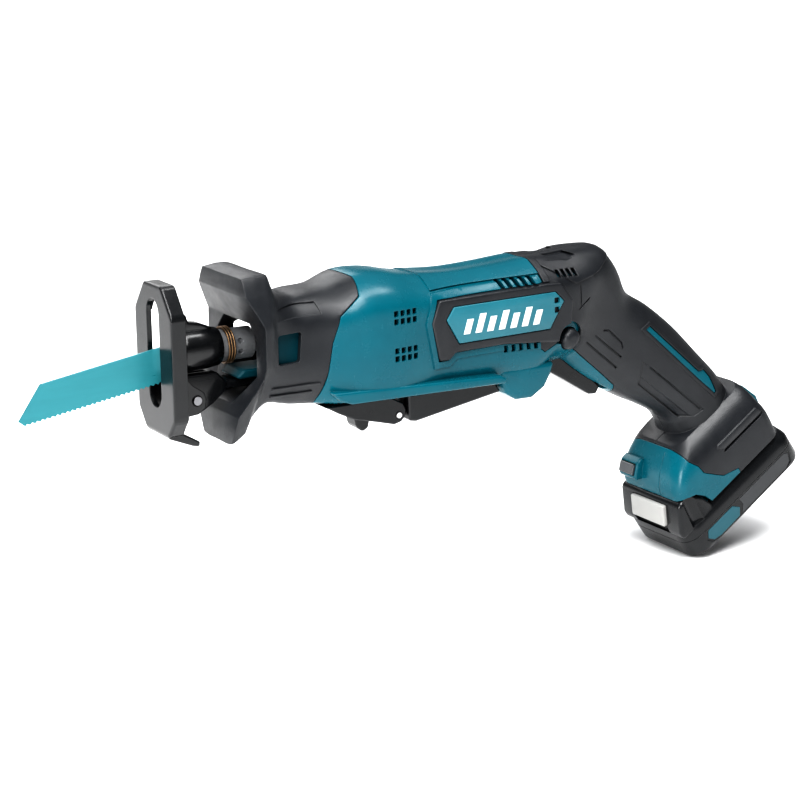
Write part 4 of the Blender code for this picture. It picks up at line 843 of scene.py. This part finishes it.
def guide_bar():
    """The bar that carries the shoe: its head has room for the shoe's pin and for the blade."""
    bar = box("guide_bar", (20.5, -6.3, -19.1), (80, 6.3, -15.9), 0.5)
    fuse(bar, rounded(prism("bar_head", BAR_HEAD, -7.2, 7.2), 0.8, 3))
    pin_hole = cylinder("bar_pin_hole", (16, -20, -22), (0, 1, 0), 2.4, 40)
    cut(bar, pin_hole, box("blade_room", (8, -1.7, -14.2), (25, 1.7, 0)))
    finish(bar, PAINT, "tool", ["shoe_guide_bar"])


def side_button():
    """The round-headed bolt beside the badge that locks the trigger."""
    bolt = rounded(cylinder("cross_bolt", CROSS_BOLT, (0, 1, 0), 5.4, 51.0, 56), 4.0, 8, 50)
    finish(bolt, RUBBER, "lock_button", ["lock_button"])


def clear_tools():
    """Removes the shapes that only cut others."""
    for thing in list(bpy.data.objects):
        if thing not in LOADED and "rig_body" not in thing:
            bpy.data.objects.remove(thing)


hard_shells()
soft_shells()
nose_boot()
foot_cover()
badges()
rear_catch()
battery()
clamp_spring()
clamp_sleeve()
guide_bar()
side_button()
clear_tools()

# ---------------------------------------------------------------- CAD nodes that keep their shape
# The nose guard takes the darker teal: painted shade inside the collar.
SPECIAL = {"nose_guard": TEAL_PAINTED_SHADE, "clamp_drum": SATIN_STEEL}
SLOT_OF = {entry["node"]: entry["material_slot"] for entry in frame["record"]["subparts"]}
for node, thing in NODES.items():
    dressed(thing, SPECIAL.get(node) or LOOKS[SLOT_OF[node]])
for node, width in (("shoe", 1.3), ("hook_arm", 0.6), ("hook_mount", 0.6), ("trigger", 0.9),
                    ("release_button", 1.0), ("nose_guard", 0.6), ("lamp_lens", 0.4)):
    soften(NODES[node], width)


# ---------------------------------------------------------------- stage
LAMPS = (       # name, place from the tool's middle, width and height, watts
    ("key", (-0.45, -0.75, 0.95), (0.45, 0.35), 6),
    ("strip", (0.05, -0.15, 0.85), (1.0, 0.15), 5),
    ("side", (-0.85, -0.45, 0.22), (0.2, 0.5), 6),
    ("back", (-0.1, 0.9, 0.6), (1.0, 0.5), 4),
)
SUN_FROM, SUN_POWER, SUN_SPREAD = (-0.25, -0.35, 0.9), 2.5, math.radians(35)
FLOOR_HALF, FLOOR_BELOW = 20.0, 0.0005
PAPER, PAPER_FLECK, PAPER_ROUGHNESS = (0.93, 0.93, 0.93), (0.915, 0.915, 0.915), 0.9
SKY_DARK, SKY_DARK_AT = (0.03, 0.03, 0.032, 1), 0.30
SKY_HIGH, SKY_HIGH_AT = (0.62, 0.63, 0.65, 1), 0.85
HORIZON, HORIZON_AT = (0.62, 0.62, 0.62, 1), (0.0, 0.12)
SKY_POWER = 0.7
VIEW_TURN, VIEW_TILT, VIEW_ROLL = math.radians(30.0), math.radians(14.0), math.radians(0.8)
VIEW_FROM = (-0.396634, -0.910272, 0.222814)
FOCAL, SENSOR = 100.0, 36.0         # millimetres


def lamp(name, place, aim, size, power):
    light = bpy.data.lights.new(name, "AREA")
    light.shape = "RECTANGLE"
    light.size, light.size_y = size
    light.energy = power
    made = bpy.data.objects.new(name, light)
    bpy.context.scene.collection.objects.link(made)
    made.location = place
    made.rotation_euler = (place - aim).to_track_quat("Z", "Y").to_euler()


def stage():
    """White paper floor, a grey sky with a bright horizon, four area lamps and a soft sun."""
    middle = (CAD_LOW + CAD_HIGH) / 2
    bm = bmesh.new()
    bmesh.ops.create_grid(bm, x_segments=2, y_segments=2, size=FLOOR_HALF)
    floor = keep_mesh(bm, "floor")
    floor.location = (middle.x, middle.y, CAD_LOW.z - FLOOR_BELOW)
    paper, nodes, links, shader = graph("paper")
    place = nodes.new("ShaderNodeTexCoord")
    fleck = noise(nodes, links, place.outputs["Object"], 40.0)
    tone = tint(nodes, links, spread(nodes, links, fleck, 0.0, 1.0), PAPER, PAPER_FLECK)
    links.new(tone, shader.inputs["Base Color"])
    shader.inputs["Roughness"].default_value = PAPER_ROUGHNESS
    floor.data.materials.append(paper)
    world = bpy.data.worlds.new("studio")
    bpy.context.scene.world = world
    world.use_nodes = True
    sky, links = world.node_tree.nodes, world.node_tree.links
    place, axes = sky.new("ShaderNodeTexCoord"), sky.new("ShaderNodeSeparateXYZ")
    ramp = sky.new("ShaderNodeValToRGB")
    steps = ramp.color_ramp.elements
    steps[0].position, steps[0].color = SKY_DARK_AT, SKY_DARK
    steps[1].position, steps[1].color = SKY_HIGH_AT, SKY_HIGH
    for spot in HORIZON_AT:
        steps.new(spot).color = HORIZON
    links.new(place.outputs["Generated"], axes.inputs["Vector"])
    links.new(axes.outputs["Z"], ramp.inputs["Fac"])
    links.new(ramp.outputs["Color"], sky["Background"].inputs["Color"])
    sky["Background"].inputs["Strength"].default_value = SKY_POWER
    for name, offset, size, power in LAMPS:
        lamp(name, middle + Vector(offset), middle, size, power)
    high = bpy.data.lights.new("overhead", "SUN")
    high.energy = SUN_POWER
    high.angle = SUN_SPREAD
    sun = bpy.data.objects.new("overhead", high)
    bpy.context.scene.collection.objects.link(sun)
    sun.rotation_euler = Vector(SUN_FROM).to_track_quat("Z", "Y").to_euler()


def camera():
    """The photo's view: turned about the upright, tilted down and rolled a little."""
    a, e, roll = VIEW_TURN, VIEW_TILT, VIEW_ROLL
    right = Vector((math.cos(a), -math.sin(a), 0))
    up = Vector((math.sin(e) * math.sin(a), math.sin(e) * math.cos(a), math.cos(e)))
    back = Vector((-math.sin(a) * math.cos(e), -math.cos(a) * math.cos(e), math.sin(e)))
    right, up = right * math.cos(roll) - up * math.sin(roll), up * math.cos(roll) + right * math.sin(roll)
    lens = bpy.data.cameras.new("camera")
    lens.lens = FOCAL
    lens.sensor_width = SENSOR
    lens.clip_start = 0.05
    lens.clip_end = 50.0
    made = bpy.data.objects.new("camera", lens)
    bpy.context.scene.collection.objects.link(made)
    made.matrix_world = Matrix.Translation(VIEW_FROM) @ Matrix((right, up, back)).transposed().to_4x4()
    bpy.context.scene.camera = made


stage()
camera()
bpy.context.scene.view_settings.view_transform = "Standard"
bpy.context.scene.view_settings.look = "High Contrast"
